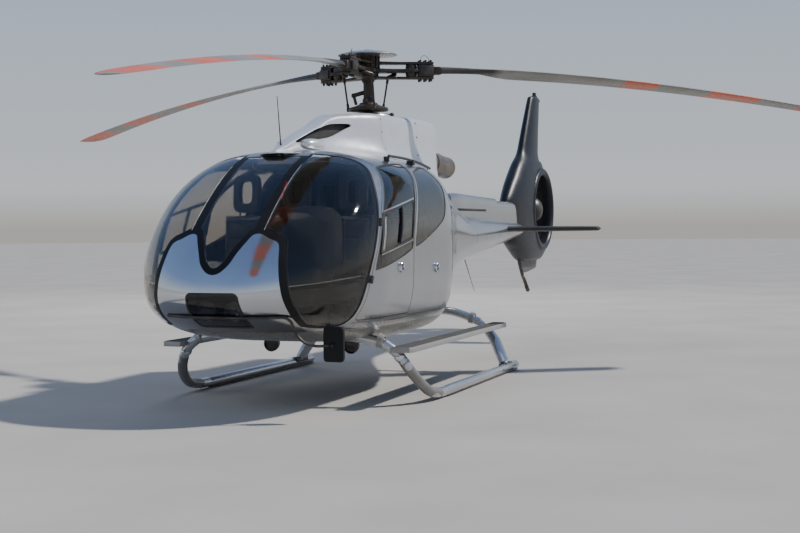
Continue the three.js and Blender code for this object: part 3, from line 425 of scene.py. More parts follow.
def tube(path: Sequence[Values], radius: float, sides: int = 16, steps: int = 32,
         flat: float = 1.0, end_radius: float | None = None) -> Shape:
    """A round or flattened bar along a smooth curve.

    Args:
        path: The points that its centre line passes through.
        radius: Its half width.
        sides: Faces round it.
        steps: Faces along it.
        flat: Its height as a share of its width.
        end_radius: Its half width at the far end, where it tapers.

    Returns:
        The closed bar.
    """
    frames = track(path, steps)
    last = radius if end_radius is None else end_radius

    def place(u: float, v: float) -> Vector:
        """The point of the bar's surface at a share of its length and of a turn.

        Args:
            u: The share of the way along, from 0 to 1.
            v: The share of the way round.

        Returns:
            The surface point.
        """
        point, turn = frames[round(u * steps)]
        angle = 2 * math.pi * v
        size = radius + (last - radius) * u
        return point + turn @ Vector((size * math.cos(angle), size * flat * math.sin(angle), 0))

    return mapped_grid(steps, sides, place)


def rod(start: Values, end: Values, radius: float, sides: int = 16,
        end_radius: float | None = None, bevel: float = 0.0) -> Shape:
    """A straight round bar or cone between two points, with an optional bevel on its rims.

    Args:
        start: The middle of its first end.
        end: The middle of its far end.
        radius: Its radius.
        sides: Faces round it.
        end_radius: Its radius at the far end, where it is a cone.
        bevel: The bevel's width, or 0 for sharp rims.

    Returns:
        The closed bar.
    """
    low, high = Vector(start), Vector(end)
    bm = bmesh.new()
    bmesh.ops.create_cone(bm, cap_ends=True, cap_tris=False, segments=sides, radius1=radius,
                          radius2=radius if end_radius is None else end_radius, depth=(high - low).length)
    moved(bm, Matrix.Translation((low + high) / 2) @ turn_to((high - low).normalized()))
    return bevelled(bm, bevel, 2, 0.8) if bevel else bm


def turned(profile: Outline, start: Values, axis: Values, sides: int = 48) -> Shape:
    """A closed round body spun from a profile.

    Args:
        profile: Radius and distance along the axis, from one end to the other.
        start: The point of the axis where the distance is 0.
        axis: The direction of the axis.
        sides: Faces round it.

    Returns:
        The closed body.
    """
    bm = bmesh.new()
    verts = [bm.verts.new((radius, 0, along)) for radius, along in profile]
    edges = [bm.edges.new(pair) for pair in zip(verts, verts[1:])]
    bmesh.ops.spin(bm, geom=[*verts, *edges], cent=(0, 0, 0), axis=(0, 0, 1), angle=2 * math.pi,
                   steps=sides, use_merge=True)
    return closed(moved(bm, Matrix.Translation(start) @ turn_to(Vector(axis).normalized())))


def knuckles(pin: Vector, axis: Vector, radius: float, sides: int) -> list[Shape]:
    """The two outer knuckles on a hinge pin, then the middle one."""
    spans = ((-0.033, -0.0115), (0.0115, 0.033), (-0.0105, 0.0105))
    return [rod(pin + axis * low, pin + axis * high, radius, sides, bevel=0.002) for low, high in spans]


def domes(places: Iterable[tuple[Vector, Vector]], radius: float, rise: float = 0.5) -> Shape:
    """Rivet or screw heads, each a low dome on a surface.

    Args:
        places: The centre of each head and the way out of the surface there.
        radius: The radius of a head.
        rise: Its height as a share of the radius.

    Returns:
        All the heads in one mesh.
    """
    bm = bmesh.new()
    for point, out in places:
        made = bmesh.ops.create_cone(bm, cap_ends=True, segments=8, radius1=radius, radius2=radius * 0.55,
                                     depth=2 * radius * rise)
        bmesh.ops.transform(bm, matrix=Matrix.Translation(point) @ turn_to(out), verts=made["verts"])
    return bm


# Finishes


class NodeBench:
    """Adds and links the nodes of one material."""

    def __init__(self, name: str) -> None:
        """Starts a material with a bare Principled shader.

        Args:
            name: The material's name.
        """
        self.material = bpy.data.materials.new(name)
        self.material.use_nodes = True
        self.tree = self.material.node_tree
        self.shader = self.tree.nodes["Principled BSDF"]

    def add(self, kind: str, inputs: dict[str | int, object] | None = None,
            **settings: object) -> bpy.types.Node:
        """Adds a node.

        Args:
            kind: The node's type without its leading word.
            inputs: Values or sockets for its inputs, by name or number.
            settings: The node's own settings.

        Returns:
            The node.
        """
        node = self.tree.nodes.new(f"ShaderNode{kind}")
        for name, value in settings.items():
            setattr(node, name, value)
        for name, value in (inputs or {}).items():
            self.feed(node.inputs[name], value)
        return node

    def feed(self, target: Socket, value: object) -> None:
        """Links a socket to an input, or sets the input to a value.

        Args:
            target: The input.
            value: A socket or a plain value.
        """
        if isinstance(value, Socket):
            self.tree.links.new(value, target)
        else:
            target.default_value = value

    def set(self, **values: object) -> None:
        """Feeds the shader's inputs, named with underscores for spaces."""
        for name, value in values.items():
            self.feed(self.shader.inputs[name.replace("_", " ")], value)

    def noise(self, scale: float, detail: float = 3.0, stretch: Values = (1, 1, 1)) -> Socket:
        """A noise pattern on the piece's own coordinates, drawn out by a stretch.

        Args:
            scale: How fine the pattern is.
            detail: How many finer layers it has.
            stretch: The scale along each axis.

        Returns:
            The pattern's strength.
        """
        coordinates = self.add("TexCoord").outputs["Object"]
        mapping = self.add("Mapping", {"Vector": coordinates, "Scale": stretch})
        pattern = self.add("TexNoise", {"Vector": mapping.outputs[0], "Scale": scale, "Detail": detail})
        return pattern.outputs["Fac"]

    def ramp(self, value: Socket, low: float, high: float, start: float = 0.0, end: float = 1.0) -> Socket:
        """Maps the range from low to high onto the range from start to end, and holds it there."""
        return self.add("MapRange", {"Value": value, "From Min": low, "From Max": high, "To Min": start,
                                     "To Max": end}).outputs[0]

    def maths(self, operation: str, *values: object) -> Socket:
        """One step of arithmetic."""
        return self.add("Math", dict(enumerate(values)), operation=operation).outputs[0]

    def mix(self, share: object, first: object, second: object) -> Socket:
        """Mixes two colours by a share.

        Args:
            share: The second colour's share.
            first: The first colour.
            second: The second colour.

        Returns:
            The mixed colour.
        """
        values = [(*value, 1.0) if isinstance(value, tuple) and len(value) == 3 else value
                  for value in (first, second)]
        node = self.add("Mix", {0: share, 6: values[0], 7: values[1]}, data_type="RGBA")
        return node.outputs[2]

    def bump(self, height: Socket, strength: float, distance: float = 0.001) -> Socket:
        """A bump from a height."""
        return self.add("Bump", {"Height": height, "Strength": strength, "Distance": distance}).outputs[0]


@dataclass(frozen=True)
class Finish:
    """A painted, metal or moulded finish, with its dirt, wear and grain, and where heights are given a painted
    shade towards the bottom.
    """

    name: str
    slot: str
    colour: Colour
    metallic: float = 0.0
    roughness: float = 0.4
    rough_spread: float = 0.08
    coat: float = 0.0
    soil: Colour = (0.25, 0.22, 0.18)
    soil_share: float = 0.12
    soil_scale: float = 1.6
    wear: Colour = (0.35, 0.34, 0.32)
    wear_share: float = 0.0
    wear_scale: float = 9.0
    grain: float = 0.012
    grain_scale: float = 260.0
    stretch: tuple[float, float, float] = (1.0, 1.0, 1.0)
    specular: float = 0.5
    # heights over which the colour darkens into the soil colour towards the bottom: painted shade, not dirt
    painted_shade_heights: tuple[float, float] | None = None

    def base(self, bench: NodeBench) -> Socket:
        """The colour under the dirt; finishes with a pattern of their own change it.

        Args:
            bench: The material's bench.

        Returns:
            The colour.
        """
        tone = bench.noise(self.soil_scale * 3.1, 2.0)
        darker = tuple(channel * 0.88 for channel in self.colour)
        return bench.mix(tone, self.colour, darker)

    def material(self) -> bpy.types.Material:
        """The finish's material, made once.

        Returns:
            The material.
        """
        if self.name in bpy.data.materials:
            return bpy.data.materials[self.name]
        bench = NodeBench(self.name)
        dirt = bench.ramp(bench.noise(self.soil_scale, 6.0), 0.42, 0.72, 0.0, self.soil_share)
        colour = bench.mix(dirt, self.base(bench), self.soil)
        # Painted shade: below the first height the colour is all soil colour, fading out by the second; it
        # stands in for the reflection of the shaded ground.
        if self.painted_shade_heights:
            height = bench.add("SeparateXYZ", {0: bench.add("TexCoord").outputs["Object"]}).outputs[2]
            colour = bench.mix(bench.ramp(height, *self.painted_shade_heights, 1.0, 0.0), colour, self.soil)
        streaks = bench.noise(self.soil_scale * 9, 4.0, self.stretch)
        rough = bench.ramp(streaks, 0.3, 0.7, self.roughness - self.rough_spread,
                           self.roughness + self.rough_spread)
        if self.wear_share > 0:
            chips = bench.ramp(bench.noise(self.wear_scale, 8.0), 0.68 - 0.3 * self.wear_share,
                               0.72 - 0.3 * self.wear_share)
            colour = bench.mix(chips, colour, self.wear)
            rough = bench.maths("MULTIPLY_ADD", chips, 0.2, rough)
        grain = bench.noise(self.grain_scale, 2.0, self.stretch)
        bench.set(Base_Color=colour, Metallic=self.metallic, Roughness=rough,
                  Normal=bench.bump(grain, self.grain), Coat_Weight=self.coat, Coat_Roughness=0.05,
                  Specular_IOR_Level=self.specular)
        return bench.material


@dataclass(frozen=True)
class BladeFinish(Finish):
    """Grey blade paint with warning bands at set distances from the mast."""

    band: Colour = (0.62, 0.12, 0.05)
    bands: tuple[tuple[float, float], ...] = ((2.75, 3.12), (3.72, 4.3), (4.75, 5.3))
    root: Colour = (0.035, 0.028, 0.022)
    root_reach: float = 1.3

    def base(self, bench: NodeBench) -> Socket:
        """The grey with its bands, by the distance from the mast's axis.

        Args:
            bench: The material's bench.

        Returns:
            The colour.
        """
        coordinates = bench.add("TexCoord").outputs["Object"]
        flat = bench.add("VectorMath", {0: coordinates, 1: (-ROW_OFFSET.x, -ROW_OFFSET.y, 0)},
                         operation="ADD")
        level = bench.add("VectorMath", {0: flat.outputs[0], 1: (1, 1, 0)}, operation="MULTIPLY")
        reach = bench.add("VectorMath", {0: level.outputs[0]}, operation="LENGTH").outputs["Value"]
        wobble = bench.ramp(bench.noise(30, 2.0), 0.3, 0.7, -0.006, 0.006)
        reach = bench.maths("ADD", reach, wobble)
        share: Socket | float = 0.0
        for start, end in self.bands:
            inside = bench.maths("MULTIPLY", bench.maths("GREATER_THAN", reach, start),
                                 bench.maths("LESS_THAN", reach, end))
            share = bench.maths("MAXIMUM", inside, share)
        painted = bench.mix(share, super().base(bench), self.band)
        neck = bench.ramp(reach, self.root_reach, self.root_reach + 0.12, 1.0, 0.0)
        return bench.mix(neck, painted, self.root)


@dataclass(frozen=True)
class HeatedMetal(Finish):
    """Bare steel that heat has tinted in soft zones."""

    tint: Colour = (0.19, 0.135, 0.1)

    def base(self, bench: NodeBench) -> Socket:
        """The steel, with brown and straw colours where it ran hot."""
        zones = bench.ramp(bench.noise(5.0, 3.0, (0.4, 1, 1)), 0.35, 0.65)
        return bench.mix(zones, super().base(bench), self.tint)


@dataclass(frozen=True)
class Glass:
    """Tinted acrylic with a trace of dust."""

    name: str
    slot: str
    tint: Colour
    roughness: float = 0.02
    ior: float = 1.45

    def material(self) -> bpy.types.Material:
        """The glass's material, made once.

        Returns:
            The material.
        """
        if self.name in bpy.data.materials:
            return bpy.data.materials[self.name]
        bench = NodeBench(self.name)
        dust = bench.ramp(bench.noise(2.4, 7.0), 0.45, 0.8, 0.0, 0.12)
        colour = bench.mix(dust, self.tint, (0.32, 0.31, 0.29))
        rough = bench.ramp(bench.noise(7.0, 5.0), 0.4, 0.75, self.roughness, self.roughness + 0.05)
        ripple = bench.noise(1.3, 1.0)
        bench.set(Base_Color=colour, Roughness=rough, Transmission_Weight=1.0, IOR=self.ior,
                  Normal=bench.bump(ripple, 0.02, 0.01))
        return bench.material


# Nose panel silver. Its soil colour is dirt, and below the given heights it also darkens the panel towards the
# bottom as painted shade, a stand-in for the reflected shaded ground.
POLISHED = Finish("polished silver", "silver_paint", (0.66, 0.69, 0.73), 0.96, 0.12, 0.02, 0.25,
                  soil=(0.17, 0.15, 0.13), soil_share=0.05, grain=0.003, painted_shade_heights=(0.66, 1.06))
SILVER = Finish("silver paint", "silver_paint", (0.45, 0.46, 0.47), 0.9, 0.22, 0.025, 0.3, soil_share=0.08,
                grain=0.004)
# A darker copy of the silver for the belly: painted shade of the underside, with dirt on top of it.
SHADED_BELLY_SILVER = Finish("underside silver", "silver_paint", (0.36, 0.35, 0.33), 0.8, 0.3, 0.05, 0.1,
                      soil=(0.14, 0.12, 0.1), soil_share=0.25, grain=0.006)
COWL_PAINT = Finish("cowl paint", "cowl_paint", (0.74, 0.75, 0.77), 0.55, 0.3, 0.02, soil_share=0.04,
                    grain=0.003)
FRAME_BLACK = Finish("frame black", "black_frame", (0.006, 0.006, 0.007), 0.0, 0.45, 0.04, soil_share=0.02,
                     grain=0.004, specular=0.2)
SATIN_BLACK = Finish("satin black", "black_frame", (0.016, 0.016, 0.017), 0.0, 0.42, 0.08, soil_share=0.12)
RUBBER = Finish("seal rubber", "black_frame", (0.012, 0.012, 0.012), 0.0, 0.62, 0.1, soil_share=0.15,
                grain=0.1)
TRIM_DARK = Finish("cabin lining", "panel_black", (0.035, 0.036, 0.04), 0.0, 0.62, 0.1, soil_share=0.04,
                   grain=0.15, grain_scale=420)
HOOD = Finish("hood vinyl", "panel_black", (0.045, 0.044, 0.043), 0.0, 0.34, 0.05, 0.3, soil_share=0.05,
              grain=0.12, grain_scale=520)
CARPET = Finish("cabin carpet", "panel_black", (0.04, 0.04, 0.045), 0.0, 0.95, 0.03, grain=0.6,
                grain_scale=700)
SEAT_LEATHER = Finish("seat leather", "seat_fabric", (0.055, 0.055, 0.06), 0.0, 0.5, 0.1, soil_share=0.05,
                      grain=0.3, grain_scale=380)
SHROUD_BLUE = Finish("dark blue paint", "dark_blue_paint", (0.009, 0.011, 0.016), 0.0, 0.38, 0.03,
                     soil_share=0.06, grain=0.004, specular=0.3)
TAIL_BLACK = Finish("tail black", "black_frame", (0.026, 0.024, 0.023), 0.0, 0.42, 0.06, soil_share=0.12,
                    specular=0.3)
HUB_METAL = Finish("hub metal", "dark_metal", (0.04, 0.031, 0.024), 0.5, 0.42, 0.1, soil=(0.1, 0.075, 0.055),
                   soil_share=0.4, soil_scale=9, wear=(0.17, 0.14, 0.11), wear_share=0.15, wear_scale=22)
DARK_METAL = Finish("dark metal", "dark_metal", (0.05, 0.047, 0.044), 0.6, 0.4, 0.1, soil_share=0.3,
                    soil_scale=7)
BLADE_PAINT = BladeFinish("blade paint", "blade_paint", (0.26, 0.25, 0.22), 0.0, 0.42, 0.08,
                          soil=(0.12, 0.1, 0.08), soil_share=0.4, soil_scale=3)
EXHAUST = HeatedMetal("exhaust steel", "exhaust_metal", (0.27, 0.24, 0.2), 0.95, 0.34, 0.05, soil_share=0.3,
                      soil_scale=6)
SKID_PAINT = Finish("skid paint", "silver_paint", (0.58, 0.59, 0.61), 0.88, 0.24, 0.03, 0.1, soil_share=0.07,
                    soil=(0.24, 0.22, 0.19), soil_scale=3.4, grain=0.004)
WORN_SKID = Finish("worn skid", "silver_paint", (0.25, 0.245, 0.235), 0.7, 0.4, 0.08, soil_share=0.3,
                   soil=(0.4, 0.39, 0.38), soil_scale=5, wear=(0.1, 0.095, 0.09), wear_share=0.12,
                   wear_scale=26)
STEP_GREY = Finish("step grey", "silver_paint", (0.36, 0.355, 0.34), 0.45, 0.42, 0.1, soil_share=0.25,
                   soil_scale=5)
GRIP_STRIP = Finish("grip strip", "black_frame", (0.05, 0.048, 0.045), 0.0, 0.9, 0.05, grain=0.9,
                    grain_scale=900)
VENTRAL_GREY = Finish("ventral grey", "dark_metal", (0.07, 0.07, 0.075), 0.3, 0.42, 0.08, soil_share=0.3,
                      soil_scale=5)
SKID_BROWN = Finish("tail skid brown", "brown_paint", (0.026, 0.017, 0.014), 0.1, 0.5, 0.1, soil_share=0.3,
                    soil_scale=8, wear_share=0.15)
CHROME = Finish("bright metal", "dark_metal", (0.78, 0.79, 0.8), 1.0, 0.14, 0.05, soil_share=0.08,
                soil_scale=9)
CAP_SILVER = Finish("cap silver", "silver_paint", (0.5, 0.5, 0.49), 0.75, 0.32, 0.08, soil_share=0.35,
                    soil_scale=6)
BLOCK_GREY = Finish("gearbox grey", "engine_metal", (0.22, 0.22, 0.23), 0.7, 0.45, 0.1, soil_share=0.3,
                    soil_scale=8)
CORD_RED = Finish("red cord", "black_frame", (0.55, 0.03, 0.03), 0.0, 0.8, 0.05, grain=0.6, grain_scale=900)
LAMP_WHITE = Finish("lamp reflector", "dark_metal", (0.85, 0.85, 0.84), 1.0, 0.08, 0.02, soil_share=0.02)
TINTED = Glass("tinted glass", "dark_glass", (0.66, 0.62, 0.56))
SMOKED = Glass("smoked glass", "dark_glass", (0.2, 0.2, 0.2))
CLEAR = Glass("lamp glass", "dark_glass", (0.9, 0.92, 0.94), 0.03, 1.5)


def finish_piece(name: str, bm: Shape, finish: Finish | Glass, carrier: Carrier = Carrier.AIRFRAME,
                 stands_for: Sequence[str] = (), sharp: float = 35.0) -> bpy.types.Object:
    """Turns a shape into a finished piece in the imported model's frame.

    Args:
        name: The piece's name.
        bm: Its shape, used up.
        finish: Its finish.
        carrier: The body it rides on.
        stands_for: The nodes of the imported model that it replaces.
        sharp: Edges past this angle in degrees stay sharp.

    Returns:
        The piece's object.
    """
    bmesh.ops.translate(bm, verts=bm.verts, vec=ROW_OFFSET)
    sheet = bpy.data.meshes.new(name)
    bm.to_mesh(sheet)
    bm.free()
    sheet.shade_smooth()
    sheet.set_sharp_from_angle(angle=math.radians(sharp))
    piece = bpy.data.objects.new(name, sheet)
    bpy.context.scene.collection.objects.link(piece)
    sheet.materials.append(finish.material())
    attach(piece, carrier.value)
    if stands_for:
        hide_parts(*stands_for)
    LOG.info("%s: %d faces on %s", name, len(sheet.polygons), carrier.value)
    return piece


def finish_pair(name: str, bm: Shape, finish: Finish | Glass, carriers: dict[Side, Carrier] = FIXED,
                stands_for: Sequence[str] = ()) -> None:
    """Finishes a port shape on both sides. The side's word goes where a name says SIDE.

    Args:
        name: The name of both pieces.
        bm: The port shape, used up.
        finish: Its finish.
        carriers: The body that each side's piece rides on.
        stands_for: The names of the nodes that each side's piece replaces.
    """
    for side in Side:
        nodes = [node.replace("SIDE", side.word) for node in stands_for]
        finish_piece(name.replace("SIDE", side.word), side.of(bm), finish, carriers[side], nodes)
    bm.free()


# The skin of cabin and rear fuselage


@dataclass(frozen=True)
class Section:
    """One cross-section of the skin, round above and below its widest height by two powers."""

    width: float
    top: float
    bottom: float
    widest: float
    top_power: float
    bottom_power: float


@dataclass(frozen=True)
class Skin:
    """The outer surface as cross-sections along X, moved inwards by a depth where a wall needs it."""

    nose_x: float = 3.418
    nose_z: float = 1.027
    half_width: float = 1.060
    roof_z: float = 2.226
    belly_z: float = 0.514
    widest_z: float = 1.412
    waist_x: float = 0.698
    waist_drop: float = 0.156
    joint_x: float = 0.1
    dip: float = 0.047
    dip_x: float = 1.9
    blend_x: float = 1.5
    # the station where each size starts to narrow towards the nose, and the power of its curve
    width_taper: tuple[float, float] = (2.156, 2.275)
    top_taper: tuple[float, float] = (1.903, 1.594)
    bottom_taper: tuple[float, float] = (1.020, 2.295)
    # the section's power at the joint, its fall on the way to the nose and the power of that fall
    top_power: tuple[float, float, float] = (3.117, 1.117, 1.56)
    bottom_power: tuple[float, float, float] = (4.026, 2.026, 2.0)
    # x, half-width, top, bottom, widest height, top power, bottom power
    aft_rows: Table = (
        (-2.75, 0.283, 1.712, 1.098, 1.405, 2.1, 2.1),
        (-2.3, 0.30, 1.86, 0.985, 1.405, 2.3, 2.3),
        (-1.8, 0.355, 2.02, 0.82, 1.40, 2.5, 2.6),
        (-1.3, 0.475, 2.14, 0.68, 1.395, 2.7, 3.0),
        (-0.8, 0.63, 2.2, 0.58, 1.39, 2.85, 3.5),
        (-0.35, 0.775, 2.22, 0.53, 1.395, 3.0, 3.8),
        (0.1, 0.904, 2.226, 0.514, 1.412, 3.117, 4.026),
    )

    def taper(self, x: float, curve: tuple[float, float], depth: float) -> float:
        """The share of a size that is left on the way to the nose.

        Args:
            x: The station.
            curve: Where the size starts to narrow, and its power.
            depth: How far the surface is moved inwards.

        Returns:
            The share, from 0 to 1.
        """
        start, power = curve
        along = min(max((x - start) / (self.nose_x - depth - start), 0.0), 1.0)
        return (1 - along ** power) ** (1 / power)

    def section(self, x: float, depth: float = 0.0) -> Section:
        """The cross-section at a station.

        Args:
            x: The station.
            depth: How far the surface is moved inwards.

        Returns:
            The cross-section.
        """
        if x < self.joint_x:
            rows = self.aft_rows
            low = max(i for i, row in enumerate(rows[:-1]) if row[0] <= max(x, rows[0][0]))
            place = low + (max(x, rows[0][0]) - rows[low][0]) / (rows[low + 1][0] - rows[low][0])
            _, width, top, bottom, widest, top_power, bottom_power = spline(rows, place)
            return Section(width - depth, top - depth, bottom + depth, widest, top_power, bottom_power)
        waist = self.waist_drop * (max(self.waist_x - x, 0) / (self.waist_x - self.joint_x)) ** 2
        width = (self.half_width - depth) * self.taper(x, self.width_taper, depth) - waist
        along = min(max((x - self.dip_x) / (self.nose_x - self.dip_x), 0.0), 1.0)
        dip = self.dip * math.sin(math.pi * along ** 1.6) ** 2
        top = self.nose_z + (self.roof_z - depth - self.nose_z) * self.taper(x, self.top_taper, depth) - dip
        bottom = self.nose_z - (self.nose_z - self.belly_z - depth) * self.taper(x, self.bottom_taper, depth)
        share = min(max((x - self.blend_x) / (self.nose_x - depth - self.blend_x), 0.0), 1.0)
        widest = self.widest_z + (self.nose_z - self.widest_z) * share
        widest = min(max(widest, bottom), max(top, bottom))
        powers = [at_joint - fall * share ** bend
                  for at_joint, fall, bend in (self.top_power, self.bottom_power)]
        return Section(width, top, bottom, widest, *powers)

    def point(self, x: float, turn: float, depth: float = 0.0) -> Vector:
        """The surface point at a station and a turn round the section, from 0 to 1.

        Args:
            x: The station.
            turn: The share of a turn.
            depth: How far the surface is moved inwards.

        Returns:
            The point.
        """
        s = self.section(x, depth)
        c, v = math.cos(2 * math.pi * turn), math.sin(2 * math.pi * turn)
        power = s.top_power if v > 0 else s.bottom_power
        height = s.top - s.widest if v > 0 else s.widest - s.bottom
        return Vector((x, s.width * eased(c, power), s.widest + height * eased(v, power)))

    def y_at(self, x: float, z: float) -> float:
        """The port side's Y at a place seen from the side.

        Args:
            x: Its station.
            z: Its height.

        Returns:
            The half-width there.
        """
        s = self.section(x)
        above = z > s.widest
        height = s.top - s.widest if above else s.widest - s.bottom
        power = s.top_power if above else s.bottom_power
        rise = min(1.0, abs(z - s.widest) / max(height, 1e-6))
        return s.width * (1 - rise ** power) ** (1 / power)

    def z_at(self, x: float, y: float) -> float:
        """The roof's height at a place seen from above.

        Args:
            x: The station.
            y: The place across.

        Returns:
            The height.
        """
        s = self.section(x)
        across = min(1.0, abs(y) / s.width)
        return s.widest + (s.top - s.widest) * (1 - across ** s.top_power) ** (1 / s.top_power)

    def x_at(self, y: float, z: float) -> float:
        """The nose's X at a place seen from the front.

        Args:
            y: The place across.
            z: The height.

        Returns:
            The station.
        """
        low, high = self.blend_x, self.nose_x
        for _ in range(30):
            middle = (low + high) / 2
            s = self.section(middle)
            power = s.top_power if z > s.widest else s.bottom_power
            height = s.top - s.widest if z > s.widest else s.widest - s.bottom
            across, over = abs(y) / max(s.width, 1e-6), abs(z - s.widest) / max(height, 1e-6)
            low, high = (middle, high) if across ** power + over ** power < 1 else (low, middle)
        return low

    def out_at(self, x: float, z: float) -> Vector:
        """The way out of the port side at a place seen from the side."""
        y = self.y_at(x, z)
        return Vector((y - self.y_at(x + 0.002, z), 0.002, y - self.y_at(x, z + 0.002))).normalized()

    def solid(self, depth: float, rear_x: float, front_x: float | None = None, columns: int = 96,
              rows: int = 112) -> Shape:
        """The body inside the skin.

        Args:
            depth: How far the surface is moved inwards.
            rear_x: The station where it starts.
            front_x: The station where it ends, or the nose where that isn't given.
            columns: Faces along it.
            rows: Faces round it.

        Returns:
            The closed body.
        """
        nose = self.nose_x - depth

        def place(u: float, v: float) -> Vector:
            """The point of the moved surface, closer together towards the nose.

            Args:
                u: The share of the way along, from 0 to 1.
                v: The share of the way round.

            Returns:
                The surface point.
            """
            if front_x is None:
                return self.point(rear_x + (nose - rear_x) * math.sin(u * math.pi / 2), v, depth)
            return self.point(rear_x + (front_x - rear_x) * u, v, depth)

        return mapped_grid(columns, rows, place)

    def strip(self, points: Outline, half_width: float, rise: float, sink: float = 0.004) -> Shape:
        """A flat bar that follows the port side along points seen from the side.

        Args:
            points: The points it passes through.
            half_width: Half its width.
            rise: How far it stands out of the skin.
            sink: How far it reaches into it.

        Returns:
            The closed bar.
        """
        path = []
        for x, z in points:
            out = self.out_at(x, z)
            path.append(tuple(Vector((x, self.y_at(x, z), z)) + out * (rise - sink) / 2))
        steps = 8 * (len(points) - 1)
        frames = track(path, steps)

        def place(u: float, v: float) -> Vector:
            """The point of the bar's surface at a share of its length and of its four faces.

            Args:
                u: The share of the way along, from 0 to 1.
                v: The share of the way round.

            Returns:
                The surface point.
            """
            point, turn = frames[round(u * steps)]
            out = self.out_at(point.x, point.z)
            side = out.cross(turn.col[2]).normalized()
            corner = [(-1, -1), (1, -1), (1, 1), (-1, 1), (-1, -1)][round(v * 4)]
            return point + side * corner[0] * half_width + out * corner[1] * (rise + sink) / 2

        return mapped_grid(steps, 4, place)


SKIN = Skin()


def layer(near: float, far: float, rear_x: float, wall: float = -0.05) -> Shape:
    """The skin between two depths, open at the rear, or closed by a wall where that is positive."""
    return less(SKIN.solid(near, rear_x), SKIN.solid(far, rear_x + wall))


def above(z: float) -> Shape:
    """Everything above a height."""
    return block((-8, -3, z), (5, 3, 5))


def pillow(low: Values, high: Values, power: float = 4.0, columns: int = 36,
           rows: int = 24) -> Shape:
    """A box between two corners whose faces and edges are all rounded into each other.

    Args:
        low: The corner with the lowest values.
        high: The opposite corner.
        power: 2 for an ellipsoid, more for squarer edges.
        columns: Faces round it.
        rows: Faces from bottom to top.

    Returns:
        The closed shape.
    """
    middle = (Vector(low) + Vector(high)) / 2
    half = (Vector(high) - Vector(low)) / 2

    def place(u: float, v: float) -> Vector:
        """The point of the pillow's surface at a share of a turn and of its height.

        Args:
            u: The share of the way along, from 0 to 1.
            v: The share of the way round.

        Returns:
            The surface point.
        """
        turn, rise = 2 * math.pi * u, math.pi * (v - 0.5)
        level = eased(math.cos(rise), power)
        return middle + Vector((half.x * level * eased(math.cos(turn), power),
                                half.y * level * eased(math.sin(turn), power),
                                half.z * eased(math.sin(rise), power)))

    return mapped_grid(columns, rows, place)


def loft(rows: Sequence[Values], ring: Callable[[Values], list[Vector]], columns: int,
         ) -> Shape:
    """A body through cross-sections, read smoothly from a table.

    Args:
        rows: The table of the sections.
        ring: Gives a section's points from its values.
        columns: Faces along the body.

    Returns:
        The closed body.
    """
    rings = [ring(spline(rows, i * (len(rows) - 1) / columns)) for i in range(columns + 1)]
    count = len(rings[0])
    return mapped_grid(columns, count, lambda u, v: rings[round(u * columns)][round(v * count) % count])


def oval(half_width: float, half_height: float, power: float, sides: int) -> Points:
    """A rounded cross-section about its own middle.

    Args:
        half_width: Half its width.
        half_height: Half its height.
        power: 2 for an ellipse, more for squarer corners.
        sides: Its number of points.

    Returns:
        Its points.
    """
    points = []
    for i in range(sides):
        turn = 2 * math.pi * i / sides
        points.append((half_width * eased(math.cos(turn), power), half_height * eased(math.sin(turn), power)))
    return points


def hoop(profile: Outline, start: Values, axis: Values, sides: int = 64) -> Shape:
    """A closed ring whose cross-section is a profile of radius and distance along the axis.

    Args:
        profile: Radius and distance along the axis of each point.
        start: The point of the axis where the distance is 0.
        axis: The direction of the axis.
        sides: Faces round it.

    Returns:
        The closed ring.
    """
    turn = turn_to(Vector(axis).normalized())
    count = len(profile)

    def place(u: float, v: float) -> Vector:
        """The point of the ring's surface at a share of a turn and of the profile.

        Args:
            u: The share of the way along, from 0 to 1.
            v: The share of the way round.

        Returns:
            The surface point.
        """
        radius, along = profile[round(v * count) % count]
        angle = 2 * math.pi * u
        return Vector(start) + turn @ Vector((radius * math.cos(angle), radius * math.sin(angle), along))

    return mapped_grid(sides, count, place)


# The cabin

GLAZING_EDGE = rounded([
    (2.079, 2.161), (2.036, 2.122), (2.060, 2.043), (2.162, 1.927), (2.266, 1.778), (2.372, 1.596),
    (2.466, 1.417), (2.551, 1.241), (2.628, 1.067), (2.677, 0.910), (2.693, 0.805), (2.733, 0.744),
    (2.842, 0.732), (2.975, 0.750),
], 3, closed=False)
GLAZING = [(2.118, 2.6), (2.112, 2.19), *GLAZING_EDGE, (3.06, 0.775), (3.7, 0.775), (3.7, 2.6)]
NOSE = halves([*rounded([
    (0, 1.176), (0.059, 1.193), (0.125, 1.257), (0.169, 1.346), (0.219, 1.436), (0.254, 1.490),
    (0.313, 1.498), (0.393, 1.460), (0.474, 1.419), (0.504, 1.295), (0.530, 1.147), (0.550, 1.018),
    (0.567, 0.906), (0.578, 0.785),
], 3, closed=False), (0.58, 0.55)])
LIGHT_WINDOW = halves([(0.19, 1.035), (0.212, 1.025), (0.228, 1.005), (0.237, 0.909), (0.243, 0.789),
                       (0.236, 0.757), (0.215, 0.745)])
PARTING = rounded([(1.105, 2.105), (1.2, 2.03), (1.33, 1.93), (1.46, 1.79), (1.56, 1.62), (1.605, 1.46),
                   (1.628, 1.33)], 3, closed=False)
DOOR_FRONT = rounded([(1.948, 2.085), (2.032, 1.961), (2.202, 1.788), (2.338, 1.611), (2.423, 1.437),
                      (2.511, 1.265), (2.576, 1.118), (2.630, 0.95), (2.655, 0.84)], 3, closed=False)
FRONT_DOOR = [(1.94, 2.4), *DOOR_FRONT, (2.645, 0.80), (2.62, 0.785), (1.63, 0.785), *reversed(PARTING),
              (1.1, 2.4)]
SLIDE_DOOR = [(1.1, 2.4), *PARTING, (1.63, 0.785), (1.6, 0.765), (0.52, 0.765), (0.485, 0.775), (0.47, 0.81),
              (0.462, 1.9), (0.474, 2.0), (0.5, 2.08), (0.53, 2.4)]
